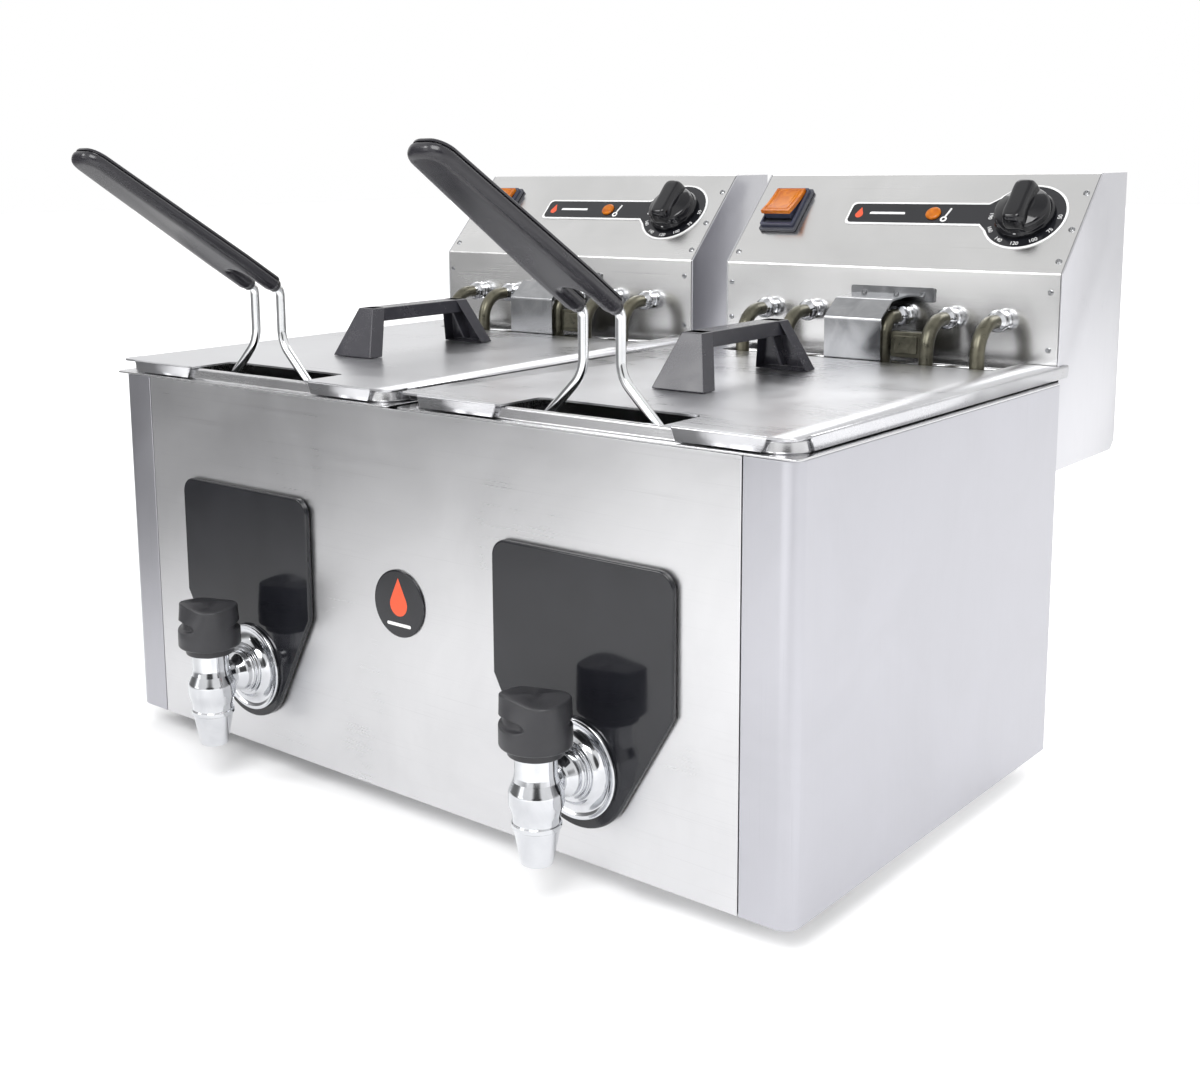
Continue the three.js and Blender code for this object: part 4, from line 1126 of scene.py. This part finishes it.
def element_guard(side, x):
    low, high = place_of(f"element_guard_{side}")
    y, wall = low.y, high.y
    section = [
        (y, 196), (y, 279.4, 3.2), (305, 291.2, 3), (wall, 292.8), (wall, 291.6), (305.4, 289.9, 1.8),
        (y + SHEET, 278.8, 2), (y + SHEET, 196),
    ]
    bm = bmesh.new()
    prism(bm, rounded(section, 8), sideways(), low.x + 1, low.x + 43)
    flange = rounded([(low.x, 288.2, 1.5), (high.x, 288.2, 1.5), (high.x, 298, 1.5), (low.x, 298, 1.5)], 4)
    prism(bm, flange, forward(0, 0, wall), 0, SHEET)
    for rivet in (-12, 12, 31.5):
        screw_head(bm, forward(x + rivet, 293.2, wall - SHEET), 1.9, 1.2)
    # Painted shade: the guard's steel is darkened to stand in for the shade on it.
    stand_in(f"element_guard_{side}", "bent", bm, GUARD_STEEL_PAINTED_SHADE, "bright_steel", crease=35)
    clamp = bmesh.new()
    place = forward(x + 35, 262.5, 306)
    rounded_box(clamp, 11, 8.5, 1.5, place, 0, 8)
    rounded_box(clamp, 8.4, 6, 1.2, place, 7, 9.2)
    body = BODY_OF[f"element_guard_{side}"]
    piece(f"bulb_clamp_{side}", clamp, SHEATH, body=body, slot="sheath", bevel=0.5)


def pilot_lamp(side, x):
    place = slope(x + LAMP["dx"], LAMP["s"])
    bm = bmesh.new()
    lens = [(0, 0.8), (5.3, 0.8), (5.3, 1.9, 0.3), (4.4, 2.5, 0.5), (2.6, 2.8, 1.5), (0, 2.8)]
    turned(bm, lens, place, 48)
    for k in range(6):
        a = math.pi * k / 3
        spot = Matrix.Translation((2.9 * math.cos(a), 2.9 * math.sin(a), 0))
        lathe(bm, [(0, 2.2), (0.95, 2.2), (0.75, 2.75), (0, 2.8)], place @ spot, 16)
    stand_in(f"pilot_lamp_{side}", "lens", bm, AMBER, "amber")


def cable_gland(side):
    low, high = place_of(f"cable_gland_{side}")
    middle = (low + high) / 2
    top = high.z - 9.3
    bm = bmesh.new()
    nut = arc(11.5, 0, 2 * math.pi, 6)[:-1]
    prism(bm, nut, upright(middle.x, middle.y), top - 8, top)
    ribs = [(0, low.z), (6.4, low.z, 0.6), (7.2, low.z + 2.6, 0.6), (6.8, low.z + 4, 0.4),
            (8.6, low.z + 6, 0.6), (8.2, low.z + 7.5, 0.4), (10.2, low.z + 10.6, 0.5), (0, low.z + 10.6)]
    turned(bm, ribs, upright(middle.x, middle.y), 40, 3)
    lathe(bm, [(0, top - 1), (8, top - 1), (8, high.z), (0, high.z)], upright(middle.x, middle.y), 40)
    stand_in(f"cable_gland_{side}", "nut", bm, SATIN_BLACK, "satin_black", crease=35)


def head(side, sign):
    x = sign * HEAD["x"]
    refined(f"head_housing_{side}", HOUSING_STEEL, "satin_steel", 0.35)
    fascia(side)
    head_screws(side, x)
    for name in ELEMENTS:
        element(side, x, name)
    element_guard(side, x)
    dial_label(side, x)
    thermostat_knob(side, x)
    rocker_switch(side, x)
    pilot_lamp(side, x)
    cable_gland(side)
    for name in ("thermostat_body", "safety_thermostat", "terminal_block"):
        refined(f"{name}_{side}", RESIN, "bakelite", 0.5)


# ---- studio ----


def sky(tree, zones):
    """A white world with softly edged zones: direction, inner and outer angle, brightness."""
    background = tree.nodes["Background"]
    place = tree.nodes.new("ShaderNodeTexCoord").outputs["Generated"]
    tone = 1.0
    for at, inner, outer, brightness in zones:
        limits = [math.cos(math.radians(angle)) for angle in (outer, inner)]
        inputs = {"Value": dot(tree, place, Vector(at).normalized()),
                  "From Min": limits[0], "From Max": limits[1]}
        edge = add(tree, "MapRange", inputs, interpolation_type="SMOOTHSTEP").outputs["Result"]
        tone = add(tree, "Mix", {"Factor": edge, "A": tone, "B": brightness}).outputs["Result"]
    tree.links.new(tone, background.inputs["Strength"])


def studio():
    """Pale floor with painted shade far to the front left and a painted glow round and behind the fryer,
    bright surroundings with darker corners, and two soft lights.
    """
    floor = bpy.data.meshes.new("floor")
    reach = 12
    floor.from_pydata([(-reach, -reach, 0), (reach, -reach, 0), (reach, reach, 0), (-reach, reach, 0)],
                      [], [(0, 1, 2, 3)])
    ground = shown("floor", floor)
    pale = Surface("pale_floor", (0.93, 0.93, 0.935), 0.9)
    paper = pale.mixed(pale.noise(2.0), (0.925, 0.925, 0.93), (0.94, 0.94, 0.945))
    ahead = dot(pale.tree, pale.place, (-0.45, -0.89, 0))
    across = dot(pale.tree, pale.place, (1, 0, 0))
    # Painted shade and light: well in front of the fryer the floor runs from dark grey on the left to
    # brighter than white at the middle and right, for the steel panels to reflect.
    painted_floor_shade = pale.mixed(across, (0.2, 0.2, 0.205), (1.2, 1.2, 1.2), -0.9, 0.0)
    pale.colour(pale.mixed(ahead, paper, painted_floor_shade, 0.28, 0.7))
    # Painted glow: the floor round and behind the fryer gives off light, which lifts the contact shadows
    # there.
    painted_floor_glow = pale.mixed(ahead, (0.3, 0.3, 0.3), (0, 0, 0), -0.15, 0.25)
    pale.tree.links.new(painted_floor_glow, pale.shader.inputs["Emission Color"])
    pale.shader.inputs["Emission Strength"].default_value = 1.0
    floor.materials.append(pale.material)

    world = bpy.data.worlds.new("studio")
    bpy.context.scene.world = world
    world.use_nodes = True
    world.node_tree.nodes["Background"].inputs["Color"].default_value = (1.0, 1.0, 1.0, 1)
    sky(world.node_tree, (
        ((0, 0, 1), 16, 36, 0.6),
        ((-0.47, -0.06, 0.88), 5, 18, 0.95),
        ((-0.9, -0.44, 0.05), 8, 38, 0.2),
        ((-0.45, -0.89, 0.12), 5, 16, 2.2),
        ((-0.5, -0.66, 0.56), 6, 11, 9.0),
        ((0.66, -0.73, 0.2), 12, 24, 0.08),
    ))

    for name, at, aim, size, power in (
        ("front", (0.5, -1.1, 1.3), (0.2, -0.35, 0), 0.8, 14),
        ("back", (-0.6, 1.8, 2.0), (-0.3, 0.5, 0), 1.8, 18),
    ):
        lamp = bpy.data.lights.new(name, "AREA")
        lamp.size = size
        lamp.energy = power
        holder = shown(name, lamp)
        holder.location = at
        holder.rotation_euler = (Vector(aim) - Vector(at)).to_track_quat("-Z", "Y").to_euler()


def camera():
    """Looks down a little on the fryer's front right corner."""
    yaw, pitch, roll = 0.712, 0.167, -0.013
    spot = Vector((641.3, -624.3, 383.5))
    view = Vector((-math.sin(yaw) * math.cos(pitch), math.cos(yaw) * math.cos(pitch), -math.sin(pitch)))
    right = Vector((math.cos(yaw), math.sin(yaw), 0))
    up = right.cross(view)
    tilted = math.cos(roll) * right + math.sin(roll) * up
    lens = bpy.data.cameras.new("camera")
    lens.sensor_width = 36
    lens.lens = 45.92
    lens.shift_x = 0.0612
    lens.shift_y = -0.0987
    lens.clip_start = 0.05
    holder = shown("camera", lens)
    holder.matrix_world = basis(tilted, tilted.cross(view), -view, TO_FRAME @ spot)
    bpy.context.scene.camera = holder


bpy.context.scene.view_settings.view_transform = "Standard"
camera()
studio()
cabinet()
for side, sign in zip(SIDES, (-1, 1)):
    tank(side)
    tap(side)
    lid(side)
    basket(side)
    head(side, sign)
